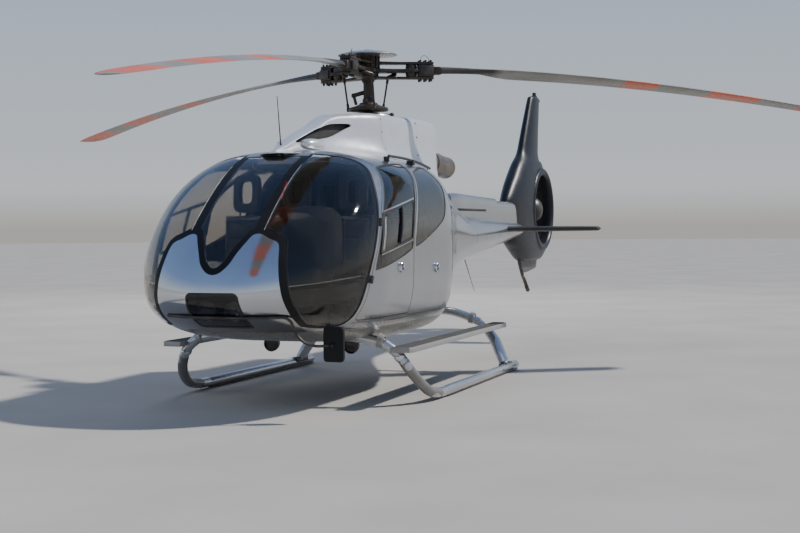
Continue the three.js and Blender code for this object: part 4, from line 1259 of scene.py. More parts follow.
FRONT_WINDOW = rounded([
    (1.935, 2.052), (1.813, 2.079), (1.408, 2.117), (1.19, 2.124), (1.15, 2.105), (1.286, 1.984),
    (1.437, 1.865), (1.553, 1.69), (1.621, 1.489), (1.645, 1.385), (1.68, 1.352), (1.889, 1.297),
    (2.198, 1.239), (2.46, 1.197), (2.492, 1.212), (2.438, 1.344), (2.342, 1.552), (2.218, 1.729),
    (2.057, 1.911), (1.962, 2.02)], 2)
SLIDE_WINDOW = rounded([
    (1.045, 2.06), (0.82, 2.095), (0.63, 2.117), (0.59, 2.085), (0.545, 1.96), (0.56, 1.9), (0.621, 1.817),
    (0.727, 1.655), (0.832, 1.589), (1.049, 1.511), (1.291, 1.436), (1.53, 1.378), (1.572, 1.395),
    (1.545, 1.489), (1.48, 1.665), (1.37, 1.84), (1.23, 1.962), (1.13, 2.035)], 2)


def nose_point(y: float, z: float) -> Vector:
    """The surface point of a place seen from the front."""
    return Vector((SKIN.x_at(y, z), y, z))


def nose_out(y: float, z: float) -> Vector:
    """The way out of the surface at a place seen from the front.

    Args:
        y: The place across.
        z: The height.

    Returns:
        The direction.
    """
    here = nose_point(y, z)
    across = nose_point(y + 0.004, z) - here
    over = nose_point(y, z + 0.004) - here
    return across.cross(over).normalized()


@dataclass
class Cabin:
    """The cabin's panels, glazing, doors and lining."""

    rear_x: float = 0.42
    floor_z: float = 0.70
    door_top_y: float = 0.72
    panel: float = 0.010
    lining: tuple[float, float] = (0.013, 0.03)
    glass: tuple[float, float] = (0.0015, 0.0085)
    seam: float = 0.006
    frame_band: float = 0.052
    outer_band: float = 0.018
    bar: tuple[float, float] = (0.25, 0.328)
    centre_rear_x: float = 2.214
    seal: float = 0.009
    hinge_at: tuple[float, float, float] = (2.352, 1.034, 1.588)
    hinge_axis: tuple[float, float, float] = (0.43492, 0.00383, -0.90047)
    hinge_reach: tuple[float, float] = (0.0, 0.522)
    skins: dict[str, Shape] = field(default_factory=dict)

    def build(self) -> None:
        """Makes the layers of the wall, then every piece that is cut from them."""
        self.skins = {
            "panel": layer(0.0, self.panel, self.rear_x),
            "lining": layer(*self.lining, self.rear_x, 0.02),
            "glass": layer(*self.glass, self.rear_x),
            "seal": layer(-0.0012, 0.012, self.rear_x),
        }
        self.build_nose()
        self.build_glazing()
        self.build_shell()
        self.build_door("front", FRONT_DOOR, FRONT_WINDOW, DOORS)
        self.build_door("slide", SLIDE_DOOR, SLIDE_WINDOW, FIXED)
        self.dress_front_door()
        self.dress_sides()
        for bm in self.skins.values():
            bm.free()

    def cut(self, skin: str, *keep: Shape) -> Shape:
        """The part of a layer that lies inside every given shape."""
        return shared(self.skins[skin].copy(), *keep)

    def zone(self, grow: float) -> Shape:
        """The space of the front glazing, less far back in the middle.

        Args:
            grow: How far it is widened.

        Returns:
            The space.
        """
        reach = 0.30 - grow
        return less(prism(inset(GLAZING, -grow), View.SIDE, -2, 2),
                    block((0, -reach, 1.5), (2.19 - grow, reach, 3)))

    def nose(self, grow: float) -> Shape:
        """The space of the nose panel."""
        return prism(inset(NOSE, -grow), View.FRONT, 2.4, 3.7)

    def pane_space(self, grow: float) -> Shape:
        """The space of the port windshield pane.

        Args:
            grow: How far it is widened.

        Returns:
            The space.
        """
        outboard = shared(prism(inset(GLAZING, self.outer_band - grow), View.SIDE, -2, 2),
                          block((2, self.bar[1] - grow, 0.6), (3.7, 2, 2.4)))
        return less(outboard, self.nose(self.frame_band - grow))

    def centre_space(self, grow: float) -> Shape:
        """The space of the middle windshield pane.

        Args:
            grow: How far it is widened.

        Returns:
            The space.
        """
        reach = self.bar[0] + grow
        return less(block((self.centre_rear_x - grow, -reach, 1.0), (3.7, reach, 2.4)),
                    self.nose(self.frame_band - grow))

    def build_nose(self) -> None:
        """The bright nose panel, the window for the landing lights and the lights behind it."""
        window = prism(LIGHT_WINDOW, View.FRONT, 2.6, 3.7)
        panel = less(self.cut("panel", self.nose(0), above(self.floor_z)), window)
        finish_piece("nose_panel_skin", panel, POLISHED, stands_for=["nose_panel"])
        rim = less(self.cut("seal", prism(inset(LIGHT_WINDOW, -0.004), View.FRONT, 2.6, 3.7),
                            above(self.floor_z)),
                   prism(inset(LIGHT_WINDOW, 0.012), View.FRONT, 2.6, 3.7))
        finish_piece("nose_light_rim", rim, RUBBER)
        glass = self.cut("glass", prism(inset(LIGHT_WINDOW, 0.002), View.FRONT, 2.6, 3.7),
                         above(self.floor_z))
        finish_piece("nose_light_glass", glass, SMOKED, stands_for=["nose_light_window"])
        tray = less(shared(SKIN.solid(0.03, self.rear_x), block((3.08, -0.3, 0.72), (3.4, 0.3, 1.08))),
                    block((3.12, -0.28, 0.735), (3.5, 0.28, 1.065)))
        finish_piece("nose_light_tray", tray, SATIN_BLACK)
        bowl = turned([(0.02, 0.0), (0.055, 0.02), (0.078, 0.05), (0.082, 0.052), (0.058, 0.012),
                       (0, -0.012)],
                      (3.2, 0.12, 0.88), (1, 0, 0.05))
        finish_pair("nose_light_reflector_SIDE", bowl, LAMP_WHITE)
        lens = turned([(0, 0.058), (0.05, 0.055), (0.08, 0.048), (0.08, 0.044), (0, 0.05)],
                      (3.2, 0.12, 0.88), (1, 0, 0.05))
        finish_pair("nose_light_lens_SIDE", lens, CLEAR)

    def build_glazing(self) -> None:
        """The black bands and the three windshield panes, with a silver bead along each bar's outer edge as
        painted highlight.
        """
        hole = self.pane_space(GAP)
        frame_skin = less(self.cut("panel", self.zone(0), above(self.floor_z)), self.nose(GAP),
                          mirrored(hole), hole, self.centre_space(GAP))
        finish_piece("windshield_frame_skin", frame_skin, FRAME_BLACK, stands_for=["windshield_frame"])
        pane = self.cut("glass", self.pane_space(0))
        finish_piece("windshield_right_glass", mirrored(pane), TINTED, stands_for=["windshield_right"])
        finish_piece("windshield_left_glass", pane, TINTED, stands_for=["windshield_left"])
        finish_piece("windshield_centre_glass", self.cut("glass", self.centre_space(0)), TINTED,
                     stands_for=["windshield_centre"])
        # A thin raised rib on the bar's outer edge, made silver so that its bright line is painted highlight
        # of the rounded edge.
        edge = [tuple(nose_point(self.bar[1] - 0.002, 1.53 + 0.11 * i) + Vector((0.001, 0, 0.0005)))
                for i in range(6)]
        finish_pair("windshield_bead_SIDE", tube(edge, 0.0022, 8, 30), CAP_SILVER)

    def build_shell(self) -> None:
        """Roof, pillars and sills outside, the dark lining inside, the belly and the floor."""
        doors = combined(prism(FRONT_DOOR, View.SIDE, self.door_top_y, 2),
                         prism(SLIDE_DOOR, View.SIDE, self.door_top_y, 2), Cut.MORE)
        both = combined(doors, mirrored(doors), Cut.MORE)
        shell = less(self.cut("panel", above(self.floor_z)), self.zone(GAP), self.nose(GAP), both.copy())
        finish_piece("cabin_shell_skin", shell, SILVER, stands_for=["cabin_shell"])
        holes = []
        for outline in (FRONT_WINDOW, SLIDE_WINDOW):
            window = prism(inset(outline, 0.004), View.SIDE, 0.5, 2)
            holes += [window, mirrored(window)]
        both.free()
        doors = combined(prism(inset(FRONT_DOOR, -0.02), View.SIDE, self.door_top_y - 0.03, 2),
                         prism(inset(SLIDE_DOOR, 0.03), View.SIDE, self.door_top_y, 2), Cut.MORE)
        both = combined(doors, mirrored(doors), Cut.MORE)
        pane = self.pane_space(0)
        lining = less(self.cut("lining", above(self.floor_z + 0.01)), both, mirrored(pane), pane,
                      self.centre_space(0), prism(LIGHT_WINDOW, View.FRONT, 2.6, 3.7), *holes)
        finish_piece("cabin_lining", lining, TRIM_DARK)
        # The belly's darker silver is painted shade of the underside.
        belly = shared(SKIN.solid(0, self.rear_x), block((-1, -2, 0.3), (4, 2, self.floor_z - GAP)))
        finish_piece("cabin_belly_skin", belly, SHADED_BELLY_SILVER, stands_for=["cabin_belly"])
        floor = shared(SKIN.solid(self.lining[0], self.rear_x), block((-1, -2, self.floor_z), (4, 2, 0.712)))
        finish_piece("cabin_carpet", floor, CARPET)

    def build_door(self, kind: str, outline: Outline, window: Outline, carriers: dict[Side, Carrier]) -> None:
        """A door's panel, lining, window and window seal.

        Args:
            kind: The door's word in the names.
            outline: Its outline seen from the side.
            window: Its window's outline.
            carriers: The body it rides on, on each side.
        """
        low_y = self.door_top_y + self.seam
        seam = self.seam if kind == "front" else 0.004
        opening = prism(window, View.SIDE, 0.5, 2)
        panel = less(self.cut("panel", prism(inset(outline, seam), View.SIDE, low_y, 2)), opening)
        finish_pair(f"door_{kind}_SIDE_skin", panel, SILVER, carriers, [f"door_{kind}_SIDE"])
        lining = less(self.cut("lining", prism(inset(outline, 0.045), View.SIDE, low_y + 0.03, 2)),
                      prism(inset(window, -0.006), View.SIDE, 0.5, 2))
        finish_pair(f"door_{kind}_SIDE_lining", lining, TRIM_DARK, carriers)
        pane = self.cut("glass", prism(inset(window, 0.002), View.SIDE, 0.5, 2))
        finish_pair(f"door_{kind}_window_SIDE_glass", pane, TINTED, carriers, [f"door_{kind}_window_SIDE"])
        seal = less(self.cut("seal", prism(inset(window, -0.003), View.SIDE, 0.5, 2)),
                    prism(inset(window, self.seal), View.SIDE, 0.4, 3))
        finish_pair(f"door_{kind}_window_SIDE_seal", seal, RUBBER, carriers)

    def dress_front_door(self) -> None:
        """The sliding pane in the front window with its frame, handle bar and bright strips."""
        top = [(2.262, 1.674), (1.9, 1.737), (1.54, 1.798)]
        bottom = [(2.40, 1.327), (2.05, 1.383), (1.652, 1.447)]
        finish_pair("door_front_SIDE_strip_top", SKIN.strip(top, 0.007, 0.006), CHROME, DOORS)
        lower = [(x, z - 0.012) for x, z in bottom]
        finish_pair("door_front_SIDE_strip_bottom", SKIN.strip(lower, 0.004, 0.005), CHROME, DOORS)
        bars = [SKIN.strip([(x, z - 0.019) for x, z in top], 0.009, 0.006), SKIN.strip(bottom, 0.010, 0.005),
                SKIN.strip([(2.268, 1.655), (2.337, 1.49), (2.395, 1.335)], 0.016, 0.006),
                SKIN.strip([(1.552, 1.78), (1.617, 1.6), (1.655, 1.45)], 0.009, 0.005)]
        finish_pair("door_front_SIDE_slider_frame", merged(*bars), SATIN_BLACK, DOORS)
        handle = SKIN.strip([(1.872, 1.715), (1.925, 1.56), (1.985, 1.412)], 0.014, 0.016)
        finish_pair("door_front_SIDE_slider_handle", handle, SATIN_BLACK, DOORS)
        stop = SKIN.strip([(2.243, 1.63), (2.3, 1.49), (2.355, 1.352)], 0.003, 0.008)
        finish_pair("door_front_SIDE_slider_stop", stop, CHROME, DOORS)

    def dress_sides(self) -> None:
        """Latches, hinges, seams and rivets of both sides."""
        for kind, carriers, x, z in (("front", DOORS, 1.961, 1.202), ("slide", FIXED, 1.015, 1.173)):
            out = SKIN.out_at(x, z)
            at = Vector((x, SKIN.y_at(x, z), z))
            ring = hoop([(0.031, 0.004), (0.035, 0.018), (0.041, 0.022), (0.046, 0.017), (0.049, -0.004),
                         (0.031, -0.004)], at, out, 40)
            finish_pair(f"door_{kind}_SIDE_latch_ring", ring, CHROME, carriers)
            dish = turned([(0, 0.006), (0.02, 0.007), (0.034, 0.012), (0.034, -0.006), (0, -0.006)],
                          at, out, 32)
            finish_pair(f"door_{kind}_SIDE_latch_dish", dish, RUBBER, carriers)
            lever = rod(at + out * 0.013 + Vector((0.022, 0, -0.004)),
                        at + out * 0.013 + Vector((-0.022, 0, 0.006)), 0.0042, 12, bevel=0.0015)
            finish_pair(f"door_{kind}_SIDE_latch_lever", lever, CHROME, carriers)
        axis = Vector(self.hinge_axis).normalized()
        for number, reach in enumerate(self.hinge_reach, 1):
            pin = Vector(self.hinge_at) + axis * reach
            *fixed, knuckle = knuckles(pin, axis, 0.011, 16)
            leaf = block((-0.003, -0.02, -0.03), (0.018, 0.0, 0.03), 0.002)
            finish_pair(f"door_front_SIDE_hinge_{number}_fixed",
                        merged(*fixed, self.on_pin(leaf, pin, axis)), SATIN_BLACK)
            arm = block((-0.032, -0.012, -0.0085), (0.0, 0.001, 0.0085), 0.002)
            finish_pair(f"door_front_SIDE_hinge_{number}_arm",
                        merged(knuckle, self.on_pin(arm, pin, axis)), SATIN_BLACK, DOORS)
        sill = [(2.60, 0.757), (2.1, 0.752), (1.5, 0.75), (1.0, 0.75), (0.5, 0.748)]
        finish_pair("belly_seam_SIDE", SKIN.strip(sill, 0.0022, 0.0008, 0.002), RUBBER)
        heads = self.rivet_row([(2.58, 0.738), (2.0, 0.733), (1.2, 0.731), (0.46, 0.729)], 0.085)
        heads += self.rivet_row([(2.585, 0.775), (2.05, 0.77)], 0.17)
        finish_pair("belly_rivets_SIDE", domes(heads, 0.0042), DARK_METAL)

    def on_pin(self, bm: Shape, pin: Vector, axis: Vector) -> Shape:
        """Turns a hinge leaf so that its height runs along the pin, and moves it there."""
        return moved(bm, Matrix.Translation(pin) @ turn_to(-axis))

    def rivet_row(self, points: Outline, spacing: float) -> list[tuple[Vector, Vector]]:
        """Places at an even spacing along a line seen from the side, with the way out at each.

        Args:
            points: The line's points.
            spacing: The distance aimed at between two places.

        Returns:
            Each place with its way out.
        """
        places = []
        for (x0, z0), (x1, z1) in zip(points, points[1:]):
            count = max(1, round(math.hypot(x1 - x0, z1 - z0) / spacing))
            for i in range(count):
                x, z = x0 + (x1 - x0) * i / count, z0 + (z1 - z0) * i / count
                places.append((Vector((x, SKIN.y_at(x, z), z)), SKIN.out_at(x, z)))
        return places


# The interior


def inflated(bm: Shape, swell: float, voxel: float = 0.009) -> Shape:
    """Blows a pad up as cloth under pressure.

    Args:
        bm: The pad's shape before it swells, used up.
        swell: The furthest that a point may move.
        voxel: The mesh's spacing.

    Returns:
        The swollen shape.
    """
    scene = bpy.context.scene
    sheet = bpy.data.meshes.new("pad")
    bm.to_mesh(sheet)
    bm.free()
    pad = bpy.data.objects.new("pad", sheet)
    scene.collection.objects.link(pad)
    remesh = pad.modifiers.new("even", "REMESH")
    remesh.mode = "VOXEL"
    remesh.voxel_size = voxel
    even = bpy.data.meshes.new_from_object(pad.evaluated_get(bpy.context.evaluated_depsgraph_get()))
    pad.modifiers.clear()
    pad.data = even
    made = bmesh.new()
    made.from_mesh(even)
    cloth = pad.modifiers.new("cloth", "CLOTH")
    cloth.settings.quality = 4
    cloth.settings.use_pressure = True
    cloth.settings.uniform_pressure_force = 4
    cloth.settings.effector_weights.gravity = 0
    cloth.point_cache.frame_start = 1
    cloth.point_cache.frame_end = 20
    for step in range(1, 21):
        scene.frame_set(step)
    swollen = pad.evaluated_get(bpy.context.evaluated_depsgraph_get()).data
    for vert, after in zip(made.verts, swollen.vertices):
        change = after.co - vert.co
        vert.co += change.normalized() * min(change.length, swell)
    scene.frame_set(1)
    bpy.data.objects.remove(pad)
    for old in (sheet, even):
        bpy.data.meshes.remove(old)
    return made


def channelled(bm: Shape, lines: Sequence[tuple[int, float]], side: Vector, depth: float = 0.007,
               width: float = 0.011) -> Shape:
    """Presses sewn channels into one face of a pad.

    Args:
        bm: The pad.
        lines: For each channel, the axis that it is placed along and its place there.
        side: The way out of the face.
        depth: The depth of a channel.
        width: Its half width.

    Returns:
        The same pad.
    """
    bm.normal_update()
    for vert in bm.verts:
        facing = vert.normal.dot(side)
        if facing > 0.3:
            near = max(math.exp(-((vert.co[axis] - place) / width) ** 2) for axis, place in lines)
            vert.co -= side * depth * near * facing
    return bm


@dataclass
class Interior:
    """Hood, pedestal, seats and other parts that show through the glass."""

    floor_z: float = 0.712
    front_x: float = 2.33
    rear_x: float = 1.16
    lean: float = math.radians(4.5)
    front_seats: tuple[tuple[str, str, float], ...] = (
        ("pilot", "seat_pilot", 0.52), ("middle", "seat_front_pair", -0.03),
        ("copilot", "seat_front_pair", -0.53))
    rear_seats: tuple[float, ...] = (-0.63, -0.21, 0.21, 0.63)

    def build(self) -> None:
        """Makes the hood, the controls, then every seat."""
        self.build_hood()
        self.build_controls()
        base = channelled(inflated(block((-0.45, -0.195, 0.225), (-0.01, 0.195, 0.315), 0.03, 3), 0.02),
                          [(0, -0.17), (0, -0.3), (1, -0.13), (1, 0.13)], UP)
        back = channelled(inflated(block((-0.545, -0.19, 0.36), (-0.47, 0.19, 0.93), 0.028, 3), 0.02),
                          [(2, 0.55), (2, 0.74), (1, -0.13), (1, 0.13)], Vector((1, 0, 0)))
        back = moved(back, self.leaning())
        for word, node, y in self.front_seats:
            self.build_seat(f"seat_{word}", y, self.front_x, base, back, [node])
        for number, y in enumerate(self.rear_seats, 1):
            self.build_seat(f"seat_rear_{number}", y, self.rear_x, base, back, ["seat_rear_bench"])
        base.free()
        back.free()

    def leaning(self) -> Matrix:
        """The turn of a seat's back about its lower edge."""
        foot = Vector((-0.47, 0, 0.33))
        return Matrix.Translation(foot) @ Matrix.Rotation(-self.lean, 4, "Y") @ Matrix.Translation(-foot)

    def build_seat(self, name: str, y: float, x: float, base: Shape, back: Shape,
                   nodes: Sequence[str]) -> None:
        """One seat with its two pads and its headrest.

        Args:
            name: The start of its pieces' names.
            y: Its middle.
            x: Its front edge.
            base: The seat pad, drawn at the origin.
            back: The back pad.
            nodes: The nodes that it stands for.
        """
        place = Matrix.Translation((x, y, self.floor_z))
        legs = [block((-0.42, s * 0.15 - 0.012, 0), (-0.06, s * 0.15 + 0.012, 0.19), 0.004) for s in (-1, 1)]
        pan = block((-0.47, -0.2, 0.18), (0.0, 0.2, 0.228), 0.015, 3)
        shell = moved(less(block((-0.585, -0.205, 0.2), (-0.535, 0.205, 0.95), 0.02, 3),
                           block((-0.7, -0.07, 0.55), (-0.4, 0.07, 0.7), 0.03, 3)), self.leaning())
        posts = [moved(rod((-0.55, s * 0.06, 0.9), (-0.55, s * 0.06, 1.06), 0.007, 10), self.leaning())
                 for s in (-1, 1)]
        finish_piece(f"{name}_frame", moved(merged(*legs, pan, shell, *posts), place), HOOD, stands_for=nodes)
        head = less(pillow((-0.6, -0.135, 0.98), (-0.53, 0.135, 1.33), 5),
                    pillow((-0.7, -0.066, 1.06), (-0.4, 0.066, 1.27), 4))
        pads = (("base_pad", base.copy()), ("back_pad", back.copy()),
                ("headrest", moved(head, self.leaning())))
        for word, bm in pads:
            pad = finish_piece(f"{name}_{word}", moved(bm, place), SEAT_LEATHER)

    def build_hood(self) -> None:
        """The instrument console: a rounded hood on a pedestal, with its panel and screens."""
        inside = SKIN.solid(0.05, 0.5)
        hood = shared(pillow((2.46, 0.17, 1.16), (2.83, 0.77, 1.72), 4.2, 48, 32), inside)
        finish_piece("instrument_hood", hood, HOOD, stands_for=["instrument_panel"])
        pedestal = loft([(self.floor_z, 2.62, 0.47, 0.15, 0.17), (0.9, 2.63, 0.47, 0.14, 0.16),
                         (1.1, 2.64, 0.47, 0.16, 0.2), (1.25, 2.64, 0.47, 0.17, 0.24)],
                        lambda row: [Vector((row[1] + a, row[2] + b, row[0]))
                                     for a, b in oval(row[3], row[4], 5, 28)],
                        16)
        finish_piece("instrument_pedestal", pedestal, HOOD)
        board = block((2.44, 0.2, 1.24), (2.475, 0.74, 1.62), 0.01, 2)
        finish_piece("instrument_board", board, TRIM_DARK)
        bezels = []
        screens = []
        for row, z in enumerate((1.53, 1.42, 1.31)):
            for column in range(4):
                y = 0.28 + 0.125 * column
                bezels.append(hoop([(0.038, 0), (0.046, 0), (0.046, 0.008), (0.04, 0.01)],
                                   (2.441, y, z), (-1, 0, 0), 24))
                if row < 2:
                    screens.append(turned([(0, 0.004), (0.039, 0.003), (0.039, 0)],
                                          (2.441, y, z), (-1, 0, 0), 24))
        finish_piece("instrument_bezels", merged(*bezels), SATIN_BLACK)
        finish_piece("instrument_faces", merged(*screens), FRAME_BLACK)

    def build_controls(self) -> None:
        """Sill trims behind the windshield, cyclic sticks and the bright cable by the pedestal."""
        trim = tube([(3.24, 0.575, 1.085), (3.03, 0.79, 1.112), (2.84, 0.905, 1.135), (2.66, 0.965, 1.152)],
                    0.009, 10, 30, 0.7)
        finish_pair("sill_trim_SIDE", trim, CHROME)
        shelf = tube([(3.22, 0.56, 0.98), (3.02, 0.76, 1.0), (2.84, 0.88, 1.02), (2.64, 0.94, 1.04)], 0.03,
                     12, 30, 2.2)
        finish_pair("sill_shelf_SIDE", shelf, TRIM_DARK)
        for number, y in enumerate((0.52, -0.3), 1):
            stick = tube([(2.42, y, self.floor_z), (2.44, y, 0.95), (2.36, y, 1.12), (2.35, y, 1.25)], 0.011,
                         10, 24)
            grip = pillow((2.325, y - 0.022, 1.22), (2.375, y + 0.022, 1.35), 3, 20, 16)
            finish_piece(f"cyclic_stick_{number}", merged(stick, grip), HOOD)
        guide = tube([(2.93, 0.33, 1.33), (2.95, 0.36, 1.26), (2.93, 0.41, 1.17), (2.86, 0.43, 1.02),
                      (2.8, 0.44, 0.8), (2.78, 0.44, self.floor_z)], 0.006, 10, 40)
        finish_piece("vent_guide", guide, CHROME)
        duct = tube([(2.87, 0.35, 1.1), (3.0, 0.3, 1.02), (3.12, 0.2, 0.92), (3.16, 0, 0.88)], 0.035, 14, 30)
        finish_piece("nose_air_duct", duct, SATIN_BLACK)


# Rear fuselage, cowling and exhaust


@dataclass
class RearFuselage:
    """The fuselage behind the cabin with its baggage lids."""

    joint_x: float = 0.419
    rear_x: float = -2.75
    lid: tuple[tuple[float, float], ...] = ((0.23, 0.96), (0.23, 1.74), (-0.62, 1.74), (-0.62, 0.96))
    lid_at: tuple[float, float, float] = (-0.2, 0.814, 1.74)
    lid_slope: float = 0.32
    hinge_reach: tuple[float, float] = (-0.368, 0.390)
    latch_z: float = 1.01

    def lid_space(self, distance: float) -> Shape:
        """The space of the port lid, its edges square to the hinge line.

        Args:
            distance: How far its outline is moved inwards.

        Returns:
            The space.
        """
        bm = bevelled(prism(inset(self.lid, distance), View.SIDE, 0.4, 1.3), 0.03, 4, 1.0)
        for vert in bm.verts:
            vert.co.x -= self.lid_slope * (vert.co.y - self.lid_at[1])
        return bm

    def build(self) -> None:
        """The body with its hold, the lids with their hinges and latches, and the seams."""
        body = SKIN.solid(0, self.rear_x, self.joint_x, 72, 112)
        hold = shared(SKIN.solid(0.02, -2.2, 0.38, 60, 96), block((-2.2, -1.2, 0.86), (0.36, 1.2, 1.95)))
        space = self.lid_space(0)
        body = less(body, hold, mirrored(space), space)
        finish_piece("rear_fuselage_skin", body, SILVER, stands_for=["rear_fuselage"])
        shell = less(SKIN.solid(0, self.rear_x, self.joint_x, 72, 112), SKIN.solid(0.018, -2.8, 0.5, 60, 96))
        lid = shared(shell, self.lid_space(0.005))
        axis = Vector((1, self.lid_slope, 0)).normalized()
        finish_pair("baggage_lid_SIDE_skin", lid, SILVER, LIDS, ["baggage_lid_SIDE"])
        for number, reach in enumerate(self.hinge_reach, 1):
            pin = Vector(self.lid_at) + axis * reach
            *outer, knuckle = knuckles(pin, axis, 0.009, 14)
            finish_pair(f"baggage_lid_SIDE_hinge_{number}_fixed", merged(*outer), DARK_METAL)
            finish_pair(f"baggage_lid_SIDE_hinge_{number}_knuckle", knuckle, DARK_METAL, LIDS)
        z = self.latch_z
        latches = [turned([(0, 0.004), (0.016, 0.004), (0.02, 0), (0.02, -0.004), (0, -0.004)],
                          (x, SKIN.y_at(x, z), z), SKIN.out_at(x, z), 20) for x in (0.05, -0.42)]
        finish_pair("baggage_lid_SIDE_latches", merged(*latches), CHROME, LIDS)
        self.dress()

    def dress(self) -> None:
        """Joint strip, rivets and small fittings of both sides."""
        joint = [(self.joint_x + 0.002, z) for z in (0.78, 0.9, 1.1, 1.3, 1.5, 1.7, 1.9, 2.05)]
        finish_pair("rear_joint_SIDE", SKIN.strip(joint, 0.0025, 0.0008, 0.002), RUBBER)
        heads = []
        for x in (0.39, -0.72, -1.25, -1.8):
            s = SKIN.section(x)
            for i in range(15):
                z = s.bottom + (s.top - s.bottom) * (0.14 + 0.72 * i / 14)
                heads.append((Vector((x, SKIN.y_at(x, z), z)), SKIN.out_at(x, z)))
        finish_pair("rear_rivets_SIDE", domes(heads, 0.0038, 0.35), SILVER)
        knob = pillow((0.24, 0.865, 0.86), (0.31, 0.94, 0.93), 3, 20, 16)
        finish_pair("ground_socket_SIDE", knob, COWL_PAINT)


